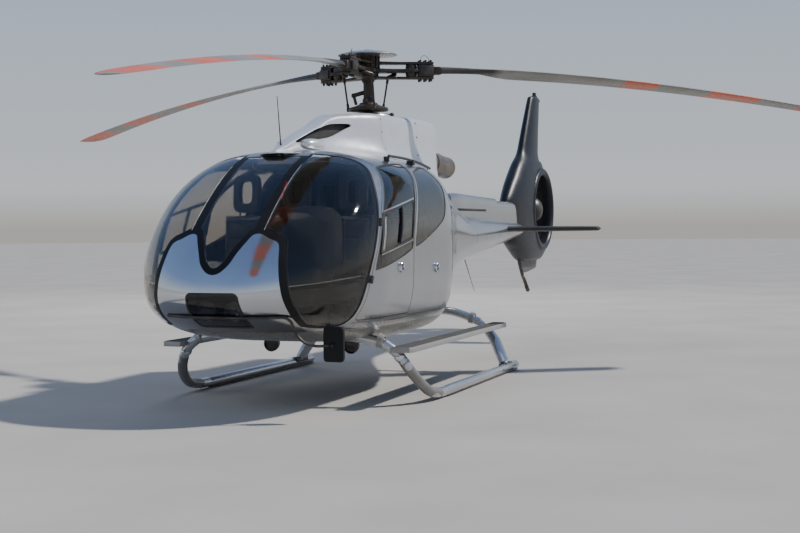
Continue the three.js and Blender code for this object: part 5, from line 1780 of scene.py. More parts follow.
@dataclass
class Cowling:
    """The cowling over engine and gearbox, and the exhaust."""

    # x, half-width of the upper part, half-width of the foot, top
    rows: Table = (
        (2.25, 0.03, 0.07, 2.207), (2.06, 0.057, 0.25, 2.28), (1.86, 0.074, 0.40, 2.352),
        (1.65, 0.086, 0.50, 2.422), (1.43, 0.096, 0.57, 2.488), (1.24, 0.104, 0.60, 2.56),
        (1.07, 0.138, 0.615, 2.604), (0.9, 0.19, 0.617, 2.627), (0.76, 0.24, 0.615, 2.644),
        (0.51, 0.33, 0.58, 2.664), (0.25, 0.352, 0.53, 2.669), (0.0, 0.36, 0.50, 2.675),
        (-0.42, 0.37, 0.47, 2.694), (-0.8, 0.38, 0.462, 2.698), (-1.0, 0.385, 0.46, 2.696))
    seams: tuple[float, float] = (0.51, -0.42)
    intake: tuple[tuple[float, float], ...] = (
        (0.93, 2.5), (0.95, 2.527), (1.234, 2.508), (1.421, 2.466), (1.5, 2.448), (1.624, 2.412),
        (1.78, 2.362), (1.912, 2.32), (1.93, 2.306), (1.88, 2.3), (1.709, 2.326), (1.407, 2.362),
        (1.204, 2.398), (0.979, 2.484))
    # Ahead of this place the cowling's tip stands out over the roof
    beak_x: float = 2.1
    exhaust_start: tuple[float, float, float] = (-0.93, 0.0, 2.335)
    exhaust_end: tuple[float, float, float] = (-2.49, 0.0, 2.25)

    def half(self, row: Values, depth: float) -> Points:
        """Half a cross-section, from its foot up to the middle of the top.

        Args:
            row: Station, half-width of the upper part, half-width of the foot and top.
            depth: How far the surface is moved inwards.

        Returns:
            Y and Z of each point.
        """
        x, wall, foot, top = row
        low = SKIN.z_at(x, foot) - 0.014 if x < self.beak_x else 2.193
        w, t = max(wall - depth, 0.012), top - depth
        spread, rise = foot - depth - w, t - low
        return [(w + spread, low), (w + spread * 0.55, low + 0.07 * rise),
                (w + spread * 0.2, low + 0.24 * rise),
                (w + spread * 0.03, low + 0.5 * rise), (w * 0.985, low + 0.78 * rise),
                (w * 0.9, low + 0.94 * rise), (w * 0.66, t - 0.004), (w * 0.3, t + 0.001), (0.0, t + 0.002)]

    def ring(self, row: Values, depth: float) -> list[Vector]:
        """A whole closed cross-section.

        Args:
            row: The values of the section.
            depth: How far the surface is moved inwards.

        Returns:
            The section's points.
        """
        half = self.half(row, depth)
        fine = [tuple(spline(half, i / 4)) for i in range(4 * (len(half) - 1) + 1)]
        low = fine[0][1] - (0.08 if row[0] < self.beak_x else 0.004)
        outline = [*fine, *((-y, z) for y, z in reversed(fine[:-1])), (-fine[0][0], low), (0.0, low),
                   (fine[0][0], low)]
        return [Vector((row[0], y, z)) for y, z in outline]

    def body(self, depth: float, trim: float = 0.0) -> Shape:
        """The space inside the cowling's surface, moved inwards by a depth and shortened at its ends.

        Args:
            depth: How far the surface is moved inwards.
            trim: How far each end is shortened.

        Returns:
            The closed space.
        """
        rows = [row for row in self.rows if row[1] > depth]
        rows = [(rows[0][0] - trim, *rows[0][1:]), *rows[1:-1], (rows[-1][0] + trim, *rows[-1][1:])]
        return loft(rows, lambda row: self.ring(row, depth), 110)

    def build(self) -> None:
        """The three cowlings, the intakes, the fasteners and the exhaust."""
        hole = prism(rounded(self.intake, 3), View.SIDE, 0.03, 1.0)
        mast = rod((0, 0, 2.5), (0.006, 0, 2.9), 0.205, 48)
        shell = less(self.body(0), self.body(0.014, 0.014), mast, mirrored(hole), hole)
        spans = (("front", self.seams[0] + 0.0015, 3.0),
                 ("middle", self.seams[1] + 0.0015, self.seams[0] - 0.0015),
                 ("rear", -3.0, self.seams[1] - 0.0015))
        for word, low, high in spans:
            piece = shared(shell.copy(), block((low, -1, 1.8), (high, 1, 3)))
            bmesh.ops.remove_doubles(piece, verts=piece.verts, dist=0.0015)
            finish_piece(f"cowl_{word}_skin", piece, COWL_PAINT, stands_for=[f"cowl_{word}"], sharp=50)
        shell.free()
        # A black body fills the inside of the cowling so that the intakes and the gap under its tip look dark:
        # painted shade.
        inner = less(self.body(0.045, 0.04), rod((0, 0, 2.4), (0.006, 0, 2.9), 0.2, 32))
        finish_piece("cowl_inner", inner, RUBBER)
        collar = hoop([(0.198, 0), (0.204, 0.012), (0.216, 0.014), (0.224, 0.002), (0.21, -0.02),
                       (0.198, -0.02)],
                      (0.003, 0, 2.673), (0.026, 0, 1), 64)
        finish_piece("cowl_mast_collar", collar, COWL_PAINT)
        bulge = pillow((1.46, 0.03, 2.235), (1.86, 0.2, 2.345), 2.3, 40, 28)
        finish_pair("cowl_intake_bulge_SIDE", bulge, COWL_PAINT)
        screws = []
        for x in (self.seams[0] - 0.014, self.seams[1] - 0.014, self.seams[1] + 0.014):
            screws += [self.place(x, t) for t in (0.9, 2.2, 3.4, 4.5)]
        finish_pair("cowl_screws_SIDE", domes(screws, 0.0105, 0.3), DARK_METAL)
        foot = [self.place(1.95 - 0.16 * i, 0.55) for i in range(18)]
        finish_pair("cowl_rivets_SIDE", domes(foot, 0.0052, 0.4), DARK_METAL)
        seal = [self.foot_point(2.07 - 0.11 * i) for i in range(28)]
        finish_pair("cowl_foot_seal_SIDE", tube(seal, 0.0045, 8, 110), RUBBER)
        bracket = merged(block((-0.5, -0.03, 2.655), (-0.44, 0.03, 2.69), 0.006),
                         rod((-0.47, 0, 2.68), (-0.47, 0, 2.72), 0.011, 12))
        finish_piece("cowl_top_fitting", bracket, SATIN_BLACK)
        self.build_exhaust()
        for node, finish in (("engine_block", BLOCK_GREY), ("gearbox", DARK_METAL)):
            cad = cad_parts[node]
            for number in range(len(cad.material_slots)):
                cad.material_slots[number].link = "OBJECT"
                cad.material_slots[number].material = finish.material()

    def place(self, x: float, t: float) -> tuple[Vector, Vector]:
        """The port point at a station and a place up the half section, with the way out there.

        Args:
            x: The station.
            t: The place in the half section's list of points.

        Returns:
            The point and the direction.
        """
        table = self.rows
        low = max(i for i, row in enumerate(table[:-1]) if row[0] >= x)
        share = (table[low][0] - x) / (table[low][0] - table[low + 1][0])
        half = self.half(spline(table, low + share), 0)
        y, z = spline(half, t)
        y2, z2 = spline(half, t + 0.1)
        out = Vector((0, z2 - z, y - y2)).normalized()
        return Vector((x, y, z)), out

    def foot_point(self, x: float) -> tuple[float, float, float]:
        """The port point at a station where the cowling comes out of the roof."""
        points = [self.place(x, 0.02 * i)[0] for i in range(100)]
        return tuple(next(point for point in points if point.z > SKIN.z_at(x, point.y)))

    def build_exhaust(self) -> None:
        """The exhaust pipe with its joint ring, rolled lip and sooted bore."""
        start, end = Vector(self.exhaust_start), Vector(self.exhaust_end)
        along = (end - start).length
        outer = [(0.133, 0.0), (0.134, 0.6), (0.1335, along - 0.42), (0.137, along - 0.40),
                 (0.137, along - 0.385), (0.131, along - 0.37), (0.128, along - 0.02), (0.130, along - 0.006),
                 (0.1275, along)]
        bore = [(0.121, along - 0.003), (0.119, along - 0.02), (0.118, along - 0.8), (0.0, along - 0.82)]
        pipe = turned([(0, 0), *outer, *bore], start, end - start, 64)
        finish_piece("exhaust_pipe", pipe, EXHAUST, stands_for=["exhaust"])
        band = hoop([(0.1345, -0.012), (0.139, -0.012), (0.139, 0.012), (0.1345, 0.012)],
                    start + (end - start) * 0.6, end - start, 64)
        finish_piece("exhaust_band", band, DARK_METAL)


# The tail


@dataclass
class Tail:
    """Boom, drive fairing, stabilizer, shrouded fan, fins and skid."""

    # x, half-width, top, bottom
    boom: Table = ((-2.74, 0.284, 1.713, 1.097), (-3.3, 0.257, 1.69, 1.153),
                   (-3.92, 0.225, 1.665, 1.21), (-5.13, 0.175, 1.625, 1.345),
                   (-5.92, 0.150, 1.605, 1.42))
    # x, half-width, top
    fairing: Table = (
        (-2.45, 0.09, 1.94), (-2.7, 0.12, 1.955), (-3.2, 0.12, 1.943), (-3.8, 0.12, 1.93),
        (-4.28, 0.12, 1.92), (-4.31, 0.119, 1.915), (-4.36, 0.118, 1.889), (-4.8, 0.116, 1.886),
        (-5.3, 0.115, 1.885), (-5.5, 0.115, 1.883), (-5.6, 0.11, 1.872), (-5.7, 0.095, 1.84),
        (-5.76, 0.06, 1.76))
    # z, leading x, trailing x, half-thickness
    fin: Table = (
        (1.04, -5.96, -6.72, 0.05), (1.055, -5.87, -6.81, 0.10), (1.095, -5.77, -6.90, 0.14),
        (1.22, -5.50, -7.06, 0.185), (1.36, -5.23, -7.15, 0.198), (1.60, -5.18, -7.23, 0.202),
        (1.79, -5.12, -7.25, 0.202), (1.91, -5.10, -7.24, 0.202), (2.12, -5.30, -7.17, 0.2),
        (2.30, -5.52, -7.05, 0.183), (2.44, -5.70, -6.90, 0.157), (2.59, -5.92, -6.79, 0.12),
        (2.78, -6.05, -6.81, 0.105), (2.98, -6.18, -6.84, 0.095), (3.2, -6.33, -6.89, 0.083),
        (3.42, -6.48, -6.94, 0.07), (3.462, -6.53, -6.945, 0.058), (3.475, -6.60, -6.93, 0.03))
    fan_at: tuple[float, float, float] = (-6.55, 0.0, 1.79)
    bore: float = 0.5
    shroud_top_z: float = 2.5
    vanes: int = 8
    blades: int = 10

    def build(self) -> None:
        """Makes every piece of the tail."""
        self.build_boom()
        self.build_shroud()
        self.build_stator()
        self.build_fan()
        self.build_fins()
        self.build_fittings()

    def build_boom(self) -> None:
        """The boom with its seams, and the fairing over the drive shaft."""
        def ring(row: Values) -> list[Vector]:
            """A round section of the boom.

            Args:
                row: The values of the section.

            Returns:
                The section's points.
            """
            x, width, top, bottom = row
            return [Vector((x, y, (top + bottom) / 2 + z))
                    for y, z in oval(width, (top - bottom) / 2, 2.05, 64)]

        finish_piece("tail_boom_skin", loft(self.boom, ring, 40), SILVER, stands_for=["tail_boom"])
        bands = []
        heads = []
        for place in (0.35, 1.15, 2.2, 3.1):
            x, width, top, bottom = spline(self.boom, place)
            middle, half = (top + bottom) / 2, (top - bottom) / 2
            bands.append(hoop([(0.9995, -0.0015), (1.003, -0.0015), (1.003, 0.0015), (0.9995, 0.0015)],
                              (0, 0, 0), (1, 0, 0), 72))
            bmesh.ops.scale(bands[-1], verts=bands[-1].verts, vec=(1, width, half))
            bmesh.ops.translate(bands[-1], verts=bands[-1].verts, vec=(x, 0, middle))
            for shift in (-0.016, 0.016):
                for i in range(40):
                    turn = 2 * math.pi * (i + 0.5) / 40
                    out = Vector((0, math.cos(turn) / width, math.sin(turn) / half)).normalized()
                    point = Vector((x + shift, width * math.cos(turn), middle + half * math.sin(turn)))
                    heads.append((point, out))
        finish_piece("tail_boom_seams", merged(*bands), RUBBER)
        finish_piece("tail_boom_rivets", domes(heads, 0.0035, 0.35), SILVER)

        def cover(row: Values) -> list[Vector]:
            """A section of the fairing, open at its foot inside the boom.

            Args:
                row: The values of the section.

            Returns:
                The section's points.
            """
            x, width, top = row
            half = [(width, 1.5), (width, 1.62), (width, 1.7), (width * 0.99, top - 0.09),
                    (width * 0.93, top - 0.04),
                    (width * 0.74, top - 0.01), (width * 0.4, top), (0.0, top + 0.001)]
            fine = [tuple(spline(half, i / 3)) for i in range(3 * (len(half) - 1) + 1)]
            return [Vector((x, y, z)) for y, z in [*fine, *((-y, z) for y, z in reversed(fine[:-1]))]]

        finish_piece("tail_drive_cover", loft(self.fairing, cover, 96), SILVER,
                     stands_for=["tail_drive_fairing"])
        # The black strip stands in for the shaded gap under the fairing's lower edge (painted shade); the
        # hinge knuckles in it are real parts.
        slot = block((-3.8, 0.112, 1.738), (-2.3, 0.1235, 1.768), 0.001)
        hinges = [rod((-3.77 + 0.06 * i, 0.123, 1.753), (-3.735 + 0.06 * i, 0.123, 1.753), 0.007, 8)
                  for i in range(24)]
        finish_pair("tail_drive_hinge_SIDE", merged(slot, *hinges), RUBBER)
        heads = [(Vector((-2.85 - 0.16 * i, 0.1205, 1.80)), Vector((0, 1, 0))) for i in range(17)]
        finish_pair("tail_drive_screws_SIDE", domes(heads, 0.0045, 0.4), DARK_METAL)

    def fin_ring(self, row: Values) -> list[Vector]:
        """A level section of fin and shroud: a sharper front and a blunter rear.

        Args:
            row: The values of the section.

        Returns:
            The section's points.
        """
        z, lead, trail, thickness = row
        middle, half = (lead + trail) / 2, (lead - trail) / 2
        points = []
        for i in range(72):
            turn = 2 * math.pi * i / 72
            c, s = math.cos(turn), math.sin(turn)
            blunt = z < self.shroud_top_z
            along = 2.1 if c > 0 or not blunt else 3.2
            across = 3.0 if blunt and c < 0 else 2.1
            points.append(Vector((middle + half * eased(c, along), thickness * eased(s, across), z)))
        return points

    def build_shroud(self) -> None:
        """Fin and shroud with the bore through them and its rounded lips."""
        x, _, z = self.fan_at
        body = loft(self.fin, self.fin_ring, 110)
        bore = rod((x, -0.5, z), (x, 0.5, z), self.bore + 0.004, 96)
        finish_piece("fan_shroud_skin", less(body, bore), SHROUD_BLUE, stands_for=["fan_shroud"])
        lip = rounded([(self.bore, 0.06), (self.bore, 0.13), (0.506, 0.172), (0.524, 0.202), (0.55, 0.214),
                       (0.58, 0.21), (0.606, 0.19), (0.61, 0.15), (0.56, 0.12), (0.51, 0.06)], 2)
        finish_piece("fan_lip_left", hoop(lip, self.fan_at, (0, 1, 0), 96), SHROUD_BLUE)
        small = [(radius, 0.206 if along > 0.206 else along) for radius, along in lip]
        finish_piece("fan_lip_right", hoop(small, self.fan_at, (0, -1, 0), 96), SHROUD_BLUE)
        liner = hoop([(self.bore, -0.08), (self.bore, 0.08), (self.bore + 0.006, 0.08),
                      (self.bore + 0.006, -0.08)],
                     self.fan_at, (0, 1, 0), 96)
        finish_piece("fan_bore_liner", liner, TAIL_BLACK)

    def foil(self, chord: float, thickness: float, sides: int = 24) -> Points:
        """A wing section with its nose at 0 and its tail at minus its chord.

        Args:
            chord: Its length.
            thickness: Half its thickness.
            sides: Its number of points.

        Returns:
            Its points.
        """
        points = []
        for i in range(sides):
            turn = 2 * math.pi * i / sides
            along = (1 + math.cos(turn)) / 2
            shape = 5 * (0.2969 * math.sqrt(along) - 0.126 * along - 0.3516 * along ** 2 + 0.2843 * along ** 3
                         - 0.1036 * along ** 4)
            points.append((-chord * along, thickness * 2 * shape * (1 if turn < math.pi else -1)))
        return points

    def build_stator(self) -> None:
        """The fixed vanes and the gear housing in the duct."""
        x, _, z = self.fan_at
        housing = turned([(0, 0.245), (0.06, 0.24), (0.1, 0.215), (0.12, 0.17), (0.122, 0.07), (0.1, 0.06),
                          (0.042, 0.058), (0.04, 0.041), (0, 0.041)], self.fan_at, (0, -1, 0), 48)

        def ring(row: Values) -> list[Vector]:
            """A section of a vane.

            Args:
                row: The values of the section.

            Returns:
                The section's points.
            """
            reach, chord, thickness = row
            return [Vector((reach, -0.13 + a + 0.04, b + 0.25 * (a + 0.04)))
                    for a, b in self.foil(chord, thickness)]

        vanes = []
        for number in range(self.vanes):
            vane = loft([(0.09, 0.085, 0.009), (0.3, 0.08, 0.008), (0.498, 0.075, 0.008)], ring, 4)
            turn = Matrix.Rotation(2 * math.pi * number / self.vanes + 0.2, 4, "Y")
            vanes.append(moved(vane, Matrix.Translation((x, 0, z)) @ turn))
        finish_piece("fan_stator_vanes", merged(housing, *vanes), TAIL_BLACK, stands_for=["fan_stator"])

    def build_fan(self) -> None:
        """The fan: hub with a domed spinner, and twisted blades."""
        x, _, z = self.fan_at
        hub = turned([(0, -0.038), (0.14, -0.038), (0.172, -0.03), (0.183, 0.0), (0.184, 0.04),
                      (0.176, 0.078),
                      (0.155, 0.114), (0.12, 0.146), (0.07, 0.168), (0, 0.176)], self.fan_at, (0, 1, 0), 56)
        finish_piece("tail_fan_hub", hub, DARK_METAL, Carrier.FAN)

        def ring(row: Values) -> list[Vector]:
            """A section of a fan blade, turned by its pitch.

            Args:
                row: The values of the section.

            Returns:
                The section's points.
            """
            reach, chord, thickness, pitch = row
            cosine, sine = math.cos(pitch), math.sin(pitch)
            points = []
            for a, b in self.foil(chord, thickness, 20):
                a += chord * 0.42
                points.append(Vector((reach, 0.015 + a * sine + b * cosine, a * cosine - b * sine)))
            return points

        blades = []
        for number in range(self.blades):
            blade = loft([(0.105, 0.05, 0.008, 0.95), (0.15, 0.062, 0.007, 0.85), (0.3, 0.072, 0.0055, 0.62),
                          (0.485, 0.074, 0.004, 0.42)], ring, 12)
            turn = Matrix.Rotation(2 * math.pi * number / self.blades, 4, "Y")
            blades.append(moved(blade, Matrix.Translation((x, 0, z)) @ turn))
        finish_piece("tail_fan_blades", merged(*blades), DARK_METAL, Carrier.FAN, ["tail_fan"])

    def build_fins(self) -> None:
        """Stabilizer, ventral fin and tail skid."""
        tip = [(1.368, -4.90, 0.13, 0.013), (1.35, -4.845, 0.195, 0.022), (1.30, -4.80, 0.25, 0.03),
               (0.75, -4.70, 0.355, 0.035), (0.2, -4.60, 0.46, 0.038)]
        rows = [(-y, *rest) for y, *rest in tip] + tip[::-1]

        def ring(row: Values) -> list[Vector]:
            """An upright section of the stabilizer.

            Args:
                row: The values of the section.

            Returns:
                The section's points.
            """
            y, lead, chord, thickness = row
            return [Vector((lead + a, y, 1.51 + b)) for a, b in self.foil(chord, thickness, 40)]

        finish_piece("stabilizer_skin", loft(rows, ring, 72), TAIL_BLACK, stands_for=["stabilizer"])
        outline = rounded([(-5.86, 1.2), (-5.87, 1.05), (-5.96, 0.93), (-6.14, 0.872), (-6.5, 0.895),
                           (-6.76, 0.925), (-6.81, 0.96), (-6.83, 1.03), (-6.79, 1.2)], 3)
        ventral = bevelled(prism(outline, View.SIDE, -0.018, 0.018), 0.009, 3, 0.9)
        finish_piece("ventral_fin_skin", ventral, VENTRAL_GREY, stands_for=["ventral_fin"])
        skid = tube([(-5.74, 0, 1.2), (-5.85, 0, 1.07), (-6.04, 0, 0.86), (-6.2, 0, 0.736),
                     (-6.36, 0, 0.605)], 0.0255,
                    16, 40)
        shoe = rod((-6.28, 0, 0.67), (-6.365, 0, 0.60), 0.03, 16, bevel=0.005)
        finish_piece("tail_skid_rod", merged(skid, shoe), SKID_BROWN, stands_for=["tail_skid"])

    def build_fittings(self) -> None:
        """Lamps on the fin, aerials and small fittings of the tail."""
        beacon = turned([(0, 0.075), (0.024, 0.072), (0.03, 0.06), (0.03, 0.022), (0.042, 0.02), (0.045, 0.0),
                         (0.045, -0.02), (0, -0.02)], (-6.78, 0, 3.472), (0, 0, 1), 32)
        finish_piece("fin_beacon", beacon, SATIN_BLACK)
        lamp = merged(rod((-6.92, 0, 3.44), (-7.01, 0, 3.44), 0.012, 16),
                      pillow((-7.06, -0.024, 3.416), (-6.995, 0.024, 3.464), 2.6, 20, 14))
        finish_piece("fin_rear_lamp", lamp, DARK_METAL)
        whip = merged(rod((-3.23, 0, 1.16), (-3.67, 0, 0.71), 0.006, 10, 0.0025),
                      rod((-3.2, 0, 1.19), (-3.26, 0, 1.129), 0.02, 16, 0.012, 0.003))
        finish_piece("boom_whip", whip, SATIN_BLACK, stands_for=["boom_aerial"])


# Landing gear


@dataclass
class LandingGear:
    """Skids, cross tubes, leg fairings and steps."""

    radius: float = 0.045
    skid_y: float = 1.205
    front_x: float = 1.98
    rear_x: float = -0.97
    bend: Table = (
        (1.25, 1.205, 0.057), (1.46, 1.203, 0.066), (1.62, 1.196, 0.1), (1.78, 1.165, 0.19),
        (1.88, 1.122, 0.287), (1.938, 1.07, 0.386), (1.965, 1.005, 0.47), (1.98, 0.9, 0.548))
    rear_leg: Table = ((-0.97, 0.86, 0.53), (-0.96, 0.955, 0.45), (-0.935, 1.05, 0.33),
                       (-0.89, 1.125, 0.2), (-0.845, 1.205, 0.06))

    def build(self) -> None:
        """Makes both sides and the tubes between them."""
        tubes = (("front", self.front_x, [(0.93, 0.538), (0.76, 0.575), (0.5, 0.6)], 0.605),
                 ("rear", self.rear_x, [(0.88, 0.52), (0.7, 0.595), (0.48, 0.64)], 0.648))
        for word, x, half, middle_z in tubes:
            path = [*((x, -y, z) for y, z in half), (x, 0, middle_z), *((x, y, z) for y, z in reversed(half))]
            finish_piece(f"cross_tube_{word}_bar", tube(path, self.radius, 28, 60), SKID_PAINT,
                         stands_for=[f"cross_tube_{word}"])
        self.build_skids()
        self.build_legs()
        self.build_steps()

    def build_skids(self) -> None:
        """The skid tubes with their worn front bends, shoes, clamps and gaskets."""
        straight = rod((-1.208, self.skid_y, 0.057), (1.3, self.skid_y, 0.057), self.radius, 32, bevel=0.006)
        bend = tube(self.bend, self.radius, 32, 72)
        finish_pair("skid_SIDE_tube", merged(straight, bend), SKID_PAINT, stands_for=["skid_SIDE"])
        worn = tube([(1.4, 1.2045, 0.061), *self.bend[2:6]], self.radius + 0.0012, 32, 48)
        finish_pair("skid_SIDE_worn_bend", worn, WORN_SKID)
        shoe = block((-1.15, self.skid_y - 0.028, 0.0), (1.2, self.skid_y + 0.028, 0.02), 0.005)
        heel = block((-1.24, self.skid_y - 0.022, 0.004), (-1.0, self.skid_y + 0.022, 0.016), 0.004)
        finish_pair("skid_SIDE_shoe", merged(shoe, heel), DARK_METAL)
        plugs = [rod((x, self.skid_y + 0.041, 0.062), (x, self.skid_y + 0.0462, 0.062), 0.008, 16)
                 for x in (-1.08, -1.0, -0.6)]
        finish_pair("skid_SIDE_plugs", merged(*plugs), SATIN_BLACK)
        clamp = hoop([(0.044, -0.014), (0.05, -0.014), (0.051, 0), (0.05, 0.014), (0.044, 0.014)],
                     (1.952, 1.04, 0.428), (-0.35, 0.5, -0.79), 32)
        lug = block((1.995, 1.03, 0.41), (2.03, 1.05, 0.44), 0.004)
        finish_pair("skid_SIDE_clamp", merged(clamp, lug), CHROME)
        for word, x, y, z in (("front", self.front_x, 0.885, 0.562), ("rear", self.rear_x, 0.80, 0.565)):
            sleeve = hoop([(0.046, -0.02), (0.06, -0.018), (0.064, 0.03), (0.046, 0.03)], (x, y, z),
                          (0, -0.95, 0.3), 32)
            finish_pair(f"skid_SIDE_gasket_{word}", sleeve, STEP_GREY)

    def build_legs(self) -> None:
        """The rear legs in their streamlined fairings."""
        leg = tube(self.rear_leg, self.radius * 0.9, 24, 40)
        rows = [(-0.955, 0.985, 0.42, 0.115, 0.045), (-0.935, 1.06, 0.325, 0.128, 0.05),
                (-0.9, 1.12, 0.213, 0.128, 0.05), (-0.87, 1.17, 0.118, 0.12, 0.047)]

        def ring(row: Values) -> list[Vector]:
            """A streamlined section round the leg.

            Args:
                row: The values of the section.

            Returns:
                The section's points.
            """
            x, y, z, chord, width = row
            points = []
            for a, b in oval(chord, width, 2.2, 48):
                taper = 1 - 0.35 * max(0.0, -a / chord)
                points.append(Vector((x - 0.025 + a, y + b * taper * 0.9, z + b * taper * 0.45)))
            return points

        fairing = loft(rows, ring, 24)
        finish_pair("rear_leg_SIDE_fairing", merged(leg, fairing), SKID_PAINT)
        foot = block((-1.03, self.skid_y - 0.05, 0.05), (-0.72, self.skid_y + 0.02, 0.108), 0.012, 3)
        bolts = domes([(Vector((x, self.skid_y + 0.021, 0.08)), Vector((0, 1, 0)))
                       for x in (-1.0, -0.93, -0.82, -0.75)], 0.011, 0.6)
        finish_pair("rear_leg_SIDE_saddle", merged(foot, bolts), DARK_METAL)

    def build_steps(self) -> None:
        """The long boarding steps: channels with a gritty walking strip."""
        outline = [(-1.0, 1.01), (-1.0, 1.15), (-0.93, 1.185), (2.05, 1.205), (2.11, 1.185), (2.12, 1.01)]
        channel = less(prism(outline, View.PLAN, 0.478, 0.523),
                       prism(inset(outline, 0.012), View.PLAN, 0.4, 0.512))
        finish_pair("step_SIDE_channel", bevelled(channel, 0.003, 2, 0.6), STEP_GREY,
                    stands_for=["step_SIDE"])
        strip = prism(inset(outline, 0.016), View.PLAN, 0.5232, 0.5255)
        finish_pair("step_SIDE_grip", strip, GRIP_STRIP)
        ribs = [block((x, 1.02, 0.482), (x + 0.008, 1.17, 0.512)) for x in (-0.6, -0.1, 0.4, 0.9, 1.4)]
        finish_pair("step_SIDE_ribs", merged(*ribs), STEP_GREY)


# The main rotor


@dataclass
class MainRotor:
    """Mast, swashplate, hub, cap and blades, drawn upright about the mast and then tilted."""

    pivot_z: float = 2.72
    tilt: float = math.radians(1.5)
    hub_z: float = 0.42
    root: float = 0.69
    tip: float = 5.345
    # name, azimuth in degrees, droop of the tip
    arms: tuple[tuple[str, float, float], ...] = (("front", 2.6, 0.47), ("left", 122.0, 0.47),
                                                  ("right", -116.0, 0.51))
    # radius, chord, half-thickness, lead of the nose, pitch in degrees
    sections: Table = (
        (0.69, 0.09, 0.037, 0.045, 12), (0.9, 0.095, 0.033, 0.048, 12), (1.15, 0.13, 0.026, 0.055, 12),
        (1.3, 0.215, 0.022, 0.078, 11.6), (1.45, 0.30, 0.0205, 0.1, 11), (1.65, 0.35, 0.019, 0.11, 10),
        (2.4, 0.35, 0.018, 0.11, 8.2), (3.3, 0.35, 0.017, 0.11, 6), (4.2, 0.35, 0.0155, 0.11, 4),
        (4.95, 0.35, 0.0145, 0.11, 2), (5.13, 0.335, 0.0135, 0.10, 1.4), (5.23, 0.31, 0.012, 0.085, 1),
        (5.3, 0.26, 0.0095, 0.045, 1), (5.345, 0.19, 0.005, -0.01, 1))

    def placed(self, bm: Shape, azimuth: float = 0.0) -> Shape:
        """Turns a shape about the mast by degrees, then tilts and lifts it into place."""
        turn = Matrix.Rotation(self.tilt, 4, "Y") @ Matrix.Rotation(math.radians(azimuth), 4, "Z")
        return moved(bm, Matrix.Translation((0, 0, self.pivot_z)) @ turn)

    def add(self, name: str, bm: Shape, azimuth: float = 0.0, finish: Finish = HUB_METAL,
            stands_for: Sequence[str] = ()) -> None:
        """Places a shape and finishes it as a piece that turns with the rotor.

        Args:
            name: The piece's name.
            bm: Its shape, drawn upright about the mast.
            azimuth: Its angle about the mast in degrees.
            finish: Its finish.
            stands_for: The nodes it replaces.
        """
        finish_piece(name, self.placed(bm, azimuth), finish, Carrier.ROTOR, stands_for)

    def build(self) -> None:
        """Makes the mast and its controls, the hub, the cap and the blades."""
        self.build_mast()
        self.build_hub()
        self.build_cap()
        for name, azimuth, droop in self.arms:
            self.build_blade(name, azimuth, droop)

    def build_mast(self) -> None:
        """Mast, rotating swashplate, pitch rods and scissor link."""
        z = self.hub_z
        mast = turned([(0, -0.15), (0.05, -0.15), (0.05, 0.05), (0.062, 0.06), (0.062, 0.12), (0.052, 0.14),
                       (0.05, 0.17), (0.05, z - 0.13), (0.066, z - 0.11), (0.066, z - 0.062), (0, z - 0.062)],
                      (0, 0, 0), (0, 0, 1), 40)
        plate = turned([(0.055, 0.0), (0.194, 0.006), (0.204, 0.016), (0.204, 0.034), (0.19, 0.046),
                        (0.13, 0.062), (0.096, 0.078), (0.088, 0.092), (0.066, 0.094), (0.055, 0.09)],
                       (0, 0, 0), (0, 0, 1), 56)
        parts = [mast, plate]
        rods = []
        for _, azimuth, _ in self.arms:
            low, high = math.radians(azimuth + 35), math.radians(azimuth + 28)
            foot = Vector((0.212 * math.cos(low), 0.212 * math.sin(low), 0.03))
            head = Vector((0.262 * math.cos(high), 0.262 * math.sin(high), z - 0.062))
            rods.append(rod(foot, head, 0.0095, 14))
            for point, along in ((foot, 0.06), (head, -0.06)):
                rods.append(rod(point, point + (head - foot).normalized() * along, 0.014, 14, bevel=0.003))
                rods.append(pillow(point - Vector((0.019, 0.019, 0.019)),
                                   point + Vector((0.019, 0.019, 0.019)), 2.2, 16, 12))
            direction = Vector((math.cos(low), math.sin(low), 0))
            parts.append(rod(direction * 0.17 + Vector((0, 0, 0.028)),
                             direction * 0.226 + Vector((0, 0, 0.028)), 0.022, 16, bevel=0.004))
            end = Vector((0.3 * math.cos(high - 0.35), 0.3 * math.sin(high - 0.35), z - 0.03))
            rods.append(bevelled(rod(head + Vector((0, 0, 0.004)), end, 0.02, 12), 0.004))
        self.add("rotor_mast_shaft", merged(*parts), stands_for=["rotor_mast"])
        self.add("rotor_pitch_rods", merged(*rods))
        turn = math.radians(-72)
        way = Vector((math.cos(turn), math.sin(turn), 0))
        knee = way * 0.15 + Vector((0, 0, 0.15))
        links = [rod(way * 0.04 + Vector((0, 0, 0.2)), knee + Vector((0, 0, 0.02)), 0.022, 12, bevel=0.004),
                 rod(knee + Vector((0, 0, 0.02)), way * 0.125 + Vector((0, 0, 0.075)), 0.016, 12,
                     bevel=0.003),
                 pillow(knee - Vector((0.024, 0.024, 0.004)), knee + Vector((0.024, 0.024, 0.044)),
                        2.5, 16, 12)]
        self.add("rotor_scissor_link", merged(*links))
        lever = merged(block((-0.05, 0.1, 2.682), (0.0, 0.235, 2.702), 0.005),
                       pillow((-0.055, 0.215, 2.672), (0.005, 0.258, 2.712), 2.4, 16, 12))
        finish_piece("control_lever", moved(lever, Matrix.Rotation(math.radians(14), 4, "Z")), HUB_METAL)

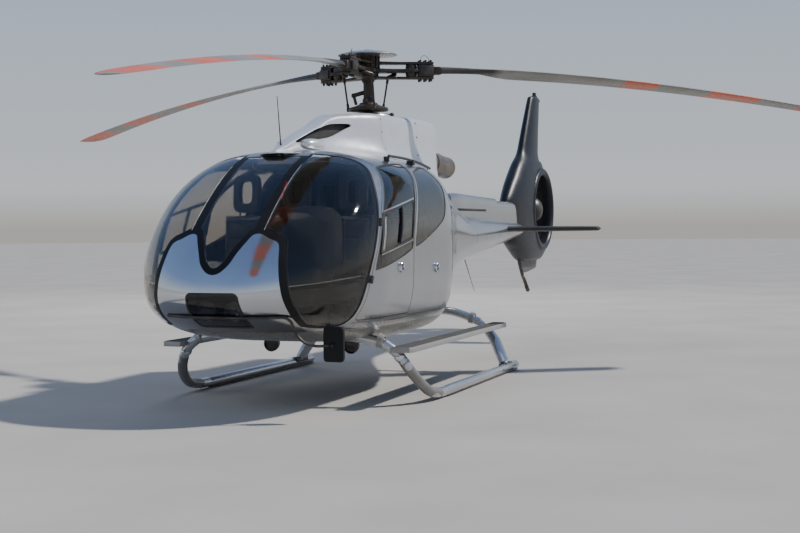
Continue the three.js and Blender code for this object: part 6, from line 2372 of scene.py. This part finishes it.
    def build_hub(self) -> None:
        """The drum, the three double arms with their star leaves, end blocks, bolts and wire loops."""
        z = self.hub_z
        drum = turned([(0.04, z - 0.1), (0.09, z - 0.095), (0.108, z - 0.06), (0.112, z + 0.04),
                       (0.112, z + 0.14),
                       (0.116, z + 0.146), (0.116, z + 0.168), (0.0, z + 0.168)], (0, 0, 0), (0, 0, 1), 48)
        ribs = [moved(block((0.1, -0.014, z - 0.02), (0.124, 0.014, z + 0.15), 0.004),
                      Matrix.Rotation(math.radians(30 * i + 12), 4, "Z")) for i in range(12)]
        self.add("rotor_drum", merged(drum, *ribs))
        waist = rounded([(0.04, -0.085), (0.16, -0.07), (0.34, -0.044), (0.5, -0.056), (0.64, -0.062),
                         (0.679, -0.045), (0.679, 0.045), (0.64, 0.062), (0.5, 0.056), (0.34, 0.044),
                         (0.16, 0.07), (0.04, 0.085)], 3)
        leaf = rounded([(0.02, -0.12), (0.16, -0.10), (0.34, -0.07), (0.46, -0.082), (0.53, -0.05),
                        (0.53, 0.05), (0.46, 0.082), (0.34, 0.07), (0.16, 0.10), (0.02, 0.12)], 3)
        plates = ((waist, 0.062, 0.088, 0.004), (waist, -0.088, -0.062, 0.004), (leaf, -0.022, 0.014, 0.006))
        for name, azimuth, _ in self.arms:
            flats = [bevelled(prism(outline, View.PLAN, z + low, z + high), width, 2, 0.9)
                     for outline, low, high, width in plates]
            self.add(f"rotor_arm_{name}_plates", merged(*flats), azimuth, stands_for=["rotor_hub"])
            block_end = block((0.515, -0.062, z - 0.062), (self.root - 0.008, 0.062, z + 0.062), 0.012, 3)
            damper = turned([(0, -0.062), (0.05, -0.062), (0.058, -0.04), (0.058, 0.04), (0.05, 0.062),
                             (0, 0.062)],
                            (0.45, 0, z), (0, 0, 1), 28)
            cheeks = [block((0.53, s * 0.07 - 0.01, z - 0.045), (0.675, s * 0.07 + 0.01, z + 0.045), 0.007, 2)
                      for s in (-1, 1)]
            self.add(f"rotor_arm_{name}_block", merged(block_end, damper, *cheeks), azimuth, DARK_METAL)
            bolts = []
            for along in (0.54, 0.595, 0.65):
                for across in (-0.036, 0.036):
                    for low, high in ((z + 0.088, z + 0.108), (z - 0.112, z - 0.088)):
                        bolts.append(rod((along, across, low), (along, across, high), 0.013, 6, bevel=0.002))
            loop = tube([(0.65, 0.03, z + 0.1), (0.64, 0.05, z + 0.14), (0.6, 0.045, z + 0.162),
                         (0.565, 0.03, z + 0.14), (0.555, 0.02, z + 0.1)], 0.0026, 8, 30)
            self.add(f"rotor_arm_{name}_bolts", merged(*bolts, loop), azimuth)

    def build_cap(self) -> None:
        """The dished cap over the hub."""
        z = self.hub_z + 0.14
        cap = turned([(0, -0.002), (0.115, 0.0), (0.16, 0.012), (0.25, 0.014), (0.296, 0.009), (0.305, 0.013),
                      (0.303, 0.02), (0.27, 0.032), (0.2, 0.047), (0.12, 0.057), (0.05, 0.061), (0.0, 0.062)],
                     (0, 0, z), (0, 0, 1), 80)
        self.add("rotor_cap_disc", cap, finish=CAP_SILVER, stands_for=["rotor_cap"])
        turns = [i * math.pi / 3 for i in range(6)]
        heads = [(Vector((0.07 * math.cos(turn), 0.07 * math.sin(turn), z + 0.061)), UP) for turn in turns]
        top = rod((0, 0, z + 0.058), (0, 0, z + 0.072), 0.022, 6, bevel=0.002)
        self.add("rotor_cap_bolts", merged(domes(heads, 0.009, 0.7), top))

    def build_blade(self, name: str, azimuth: float, droop: float) -> None:
        """One twisted, drooping blade with its root cuff.

        Args:
            name: The blade's word in the names.
            azimuth: Its angle about the mast in degrees.
            droop: How far its tip hangs down.
        """
        def ring(row: Values) -> list[Vector]:
            """A section of the blade, turned by its pitch and lowered by its droop.

            Args:
                row: The values of the section.

            Returns:
                The section's points.
            """
            reach, chord, thickness, lead, pitch = row
            sag = droop * (max(reach - self.root, 0) / (self.tip - self.root)) ** 1.7
            angle = math.radians(pitch)
            cosine, sine = math.cos(angle), math.sin(angle)
            points = []
            for a, b in TAIL.foil(chord, thickness, 36):
                back = lead + a
                lift = self.hub_z - sag + back * sine + b * cosine
                points.append(Vector((reach, b * sine - back * cosine, lift)))
            return points

        self.add(f"blade_{name}_skin", loft(self.sections, ring, 104), azimuth, BLADE_PAINT,
                 [f"blade_{name}"])
        cuff = block((self.root - 0.012, -0.052, self.hub_z - 0.04),
                     (self.root + 0.075, 0.052, self.hub_z + 0.04), 0.012, 3)
        self.add(f"blade_{name}_cuff", cuff, azimuth)


# Fittings


@dataclass
class Fittings:
    """Mirror, belly lamps, door rails and the roof aerial."""

    lamp_at: tuple[float, float, float] = (1.47, 0.40, 0.47)

    def build(self) -> None:
        """Makes the small parts outside the cabin."""
        self.build_mirror()
        aerial = merged(rod((2.1, 0, 2.26), (2.168, 0, 2.692), 0.006, 10, 0.003),
                        rod((2.085, 0, 2.2), (2.103, 0, 2.285), 0.014, 16, 0.008, 0.002))
        finish_piece("roof_whip", aerial, SATIN_BLACK, stands_for=["roof_aerial"])
        x, y, z = self.lamp_at
        cup = turned([(0, -0.06), (0.035, -0.058), (0.06, -0.035), (0.07, 0.0), (0.072, 0.038), (0.066, 0.04),
                      (0.062, 0.02), (0.0, 0.012)], (x, y, z), (1, 0, -0.08), 40)
        stalk = rod((x - 0.02, y, z + 0.04), (x - 0.02, y, 0.56), 0.022, 16)
        finish_pair("belly_lamp_SIDE_cup", merged(cup, stalk), SATIN_BLACK, stands_for=["belly_lamp_SIDE"])
        glass = turned([(0, 0.034), (0.045, 0.031), (0.064, 0.024), (0.064, 0.02), (0, 0.024)], (x, y, z),
                       (1, 0, -0.08), 40)
        finish_pair("belly_lamp_SIDE_glass", glass, TINTED)
        mirror = turned([(0, 0.0135), (0.06, 0.02), (0.06, 0.0185), (0, 0.012)], (x, y, z), (1, 0, -0.08), 32)
        finish_pair("belly_lamp_SIDE_reflector", mirror, DARK_METAL)
        rail = tube([(1.411, 0.745, 2.188), (1.0, 0.75, 2.182), (0.56, 0.738, 2.16), (0.129, 0.7, 2.126)],
                    0.011, 14, 40, 1.2)
        feet = [block((x1 - 0.012, 0.69, z1 - 0.045), (x1 + 0.012, y1 + 0.006, z1 + 0.006), 0.003)
                for x1, y1, z1 in ((1.385, 0.735, 2.18), (0.777, 0.738, 2.165), (0.18, 0.69, 2.13))]
        shoe = block((0.745, 0.735, 2.13), (0.805, 0.765, 2.18), 0.006)
        finish_pair("door_rail_SIDE_bar", merged(rail, *feet, shoe), SATIN_BLACK,
                    stands_for=["door_rail_SIDE"])

    def build_mirror(self) -> None:
        """The mirror for an outside load on its bent tube under the nose."""
        path = [(3.205, -0.5, 0.84), (3.282, -0.33, 0.838), (3.322, -0.15, 0.838), (3.331, 0, 0.838),
                (3.322, 0.15, 0.838), (3.292, 0.3, 0.838), (3.237, 0.45, 0.838), (3.19, 0.53, 0.838),
                (3.15, 0.57, 0.80), (3.12, 0.59, 0.72), (3.10, 0.65, 0.645), (3.06, 0.73, 0.61),
                (3.02, 0.80, 0.608), (2.997, 0.86, 0.61)]
        bar = tube(path, 0.0115, 14, 130)
        brackets = [block((3.155, -0.51, 0.826), (3.2, -0.49, 0.85), 0.004),
                    block((3.14, 0.525, 0.826), (3.185, 0.545, 0.85), 0.004)]
        finish_piece("mirror_bar", merged(bar, *brackets), DARK_METAL, stands_for=["mirror"])
        head = less(pillow((2.973, 0.784, 0.48), (3.018, 0.956, 0.76), 9, 48, 40),
                    pillow((2.95, 0.796, 0.494), (2.981, 0.944, 0.746), 9, 40, 32))
        boss = turned([(0, 0.018), (0.014, 0.017), (0.03, 0.008), (0.036, 0)], (3.015, 0.87, 0.61), (1, 0, 0),
                      32)
        finish_piece("mirror_head", merged(head, boss), FRAME_BLACK)
        finish_piece("mirror_face", pillow((2.975, 0.796, 0.494), (2.984, 0.944, 0.746), 9, 32, 24),
                     LAMP_WHITE)
        knob = turned([(0, 0.012), (0.008, 0.010), (0.010, 0.004), (0.010, 0)], (3.031, 0.87, 0.61),
                      (1, 0, 0), 20)
        finish_piece("mirror_knob", knob, DARK_METAL)


# Camera, light and floor


@dataclass
class Studio:
    """The camera at the photograph's place, a plain pale floor and soft light."""

    place: tuple[float, float, float] = (12.6456, 4.9737, 1.5434)
    yaw: float = math.radians(200.1646)
    pitch: float = math.radians(-1.6956)
    roll: float = math.radians(-0.3861)
    focal: float = 59.71

    def build_camera(self) -> None:
        """Sets the camera up."""
        look = Vector((math.cos(self.pitch) * math.cos(self.yaw), math.cos(self.pitch) * math.sin(self.yaw),
                       math.sin(self.pitch)))
        right = look.cross(UP).normalized()
        over = right.cross(look)
        across = right * math.cos(self.roll) + over * math.sin(self.roll)
        upward = over * math.cos(self.roll) - right * math.sin(self.roll)
        data = bpy.data.cameras.new("camera")
        data.lens = self.focal
        data.sensor_width = 36.0
        data.clip_end = 400
        camera = bpy.data.objects.new("camera", data)
        turn = Matrix((across, upward, -look)).transposed().to_4x4()
        camera.matrix_world = Matrix.Translation(Vector(self.place) + ROW_OFFSET) @ turn
        bpy.context.scene.collection.objects.link(camera)
        bpy.context.scene.camera = camera

    def build_stage(self) -> None:
        """Lays the floor and hangs the lights."""
        bm = bmesh.new()
        bmesh.ops.create_circle(bm, cap_ends=True, segments=96, radius=140)
        sheet = bpy.data.meshes.new("floor")
        bm.to_mesh(sheet)
        bm.free()
        floor = bpy.data.objects.new("floor", sheet)
        bpy.context.scene.collection.objects.link(floor)
        bench = NodeBench("pale floor")
        tone = bench.ramp(bench.noise(0.6, 6.0), 0.35, 0.7)
        bench.set(Base_Color=bench.mix(tone, (0.40, 0.385, 0.36), (0.355, 0.34, 0.315)), Roughness=1.0,
                  Specular_IOR_Level=0.0)
        sheet.materials.append(bench.material)
        self.light("key", "SUN", (-5.0, 9.0, 12.0), 4.8, (1.0, 0.97, 0.92))
        self.light("fill", "AREA", (14.0, -8.0, 9.0), 600, (0.92, 0.96, 1.0))
        self.light("rim", "AREA", (-14.0, -6.0, 10.0), 900, (1.0, 1.0, 1.0))
        world = bpy.data.worlds.new("studio")
        world.use_nodes = True
        tree = world.node_tree
        bpy.context.scene.world = world
        coordinates = tree.nodes.new("ShaderNodeTexCoord")
        split = tree.nodes.new("ShaderNodeSeparateXYZ")
        sky = tree.nodes.new("ShaderNodeValToRGB")
        sky.color_ramp.elements[0].position = 0.0
        sky.color_ramp.elements[0].color = (0.62, 0.6, 0.56, 1)
        sky.color_ramp.elements[1].position = 1.0
        sky.color_ramp.elements[1].color = (0.16, 0.26, 0.54, 1)
        for position, colour in ((0.03, (0.84, 0.88, 0.92, 1)), (0.16, (0.64, 0.75, 0.9, 1)),
                                 (0.42, (0.29, 0.44, 0.78, 1))):
            sky.color_ramp.elements.new(position).color = colour
        tree.links.new(coordinates.outputs["Generated"], split.inputs[0])
        tree.links.new(split.outputs["Z"], sky.inputs[0])
        tree.links.new(sky.outputs[0], tree.nodes["Background"].inputs["Color"])
        tree.nodes["Background"].inputs["Strength"].default_value = 0.72

    def light(self, name: str, kind: str, place: Values, power: float, colour: Colour) -> None:
        """Adds a light that looks at the middle of the object: a low sun, or a soft round panel.

        Args:
            name: The light's name.
            kind: SUN or AREA.
            place: Where it stands.
            power: Its strength.
            colour: Its colour.
        """
        data = bpy.data.lights.new(name, kind)
        data.energy = power
        data.color = colour
        lamp = bpy.data.objects.new(name, data)
        if kind == "SUN":
            data.angle = math.radians(2.5)
        else:
            data.shape = "DISK"
            data.size = 9.0
            lamp.visible_glossy = False
        lamp.location = place
        lamp.rotation_euler = (Vector((0, 0, 1)) - Vector(place)).to_track_quat("-Z", "Y").to_euler()
        bpy.context.scene.collection.objects.link(lamp)


TAIL = Tail()


def yaw_string() -> None:
    """The short red thread that is stuck to the windshield at its upper end."""
    path = [(2.66, 0.30, 1.925), (2.672, 0.312, 1.915), (2.70, 0.318, 1.885), (2.735, 0.326, 1.85),
            (2.78, 0.336, 1.81), (2.815, 0.345, 1.775)]
    points = [spline(path, i * 0.25) for i in range(21)]
    lifted = [tuple(nose_point(y, z) + nose_out(y, z) * 0.0035) for _, y, z in points]
    bm = tube(lifted, 0.0022, 8, 60)
    string = finish_piece("yaw_string", bm, CORD_RED)
    length = sum((Vector(a) - Vector(b)).length for a, b in zip(lifted, lifted[1:]))
    route = [tuple(Vector(point) + ROW_OFFSET) for point in lifted]


def main() -> None:
    """Builds the helicopter's finished pieces in order."""
    logging.basicConfig(level=logging.INFO, format="%(name)s: %(message)s")
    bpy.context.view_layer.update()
    studio = Studio()
    studio.build_camera()
    yaw_string()
    for assembly in (Cabin(), Interior(), RearFuselage(), Cowling(), TAIL, LandingGear(), MainRotor(),
                     Fittings()):
        LOG.info("building %s", type(assembly).__name__)
        assembly.build()
    studio.build_stage()


if __name__ == "__main__":
    main()
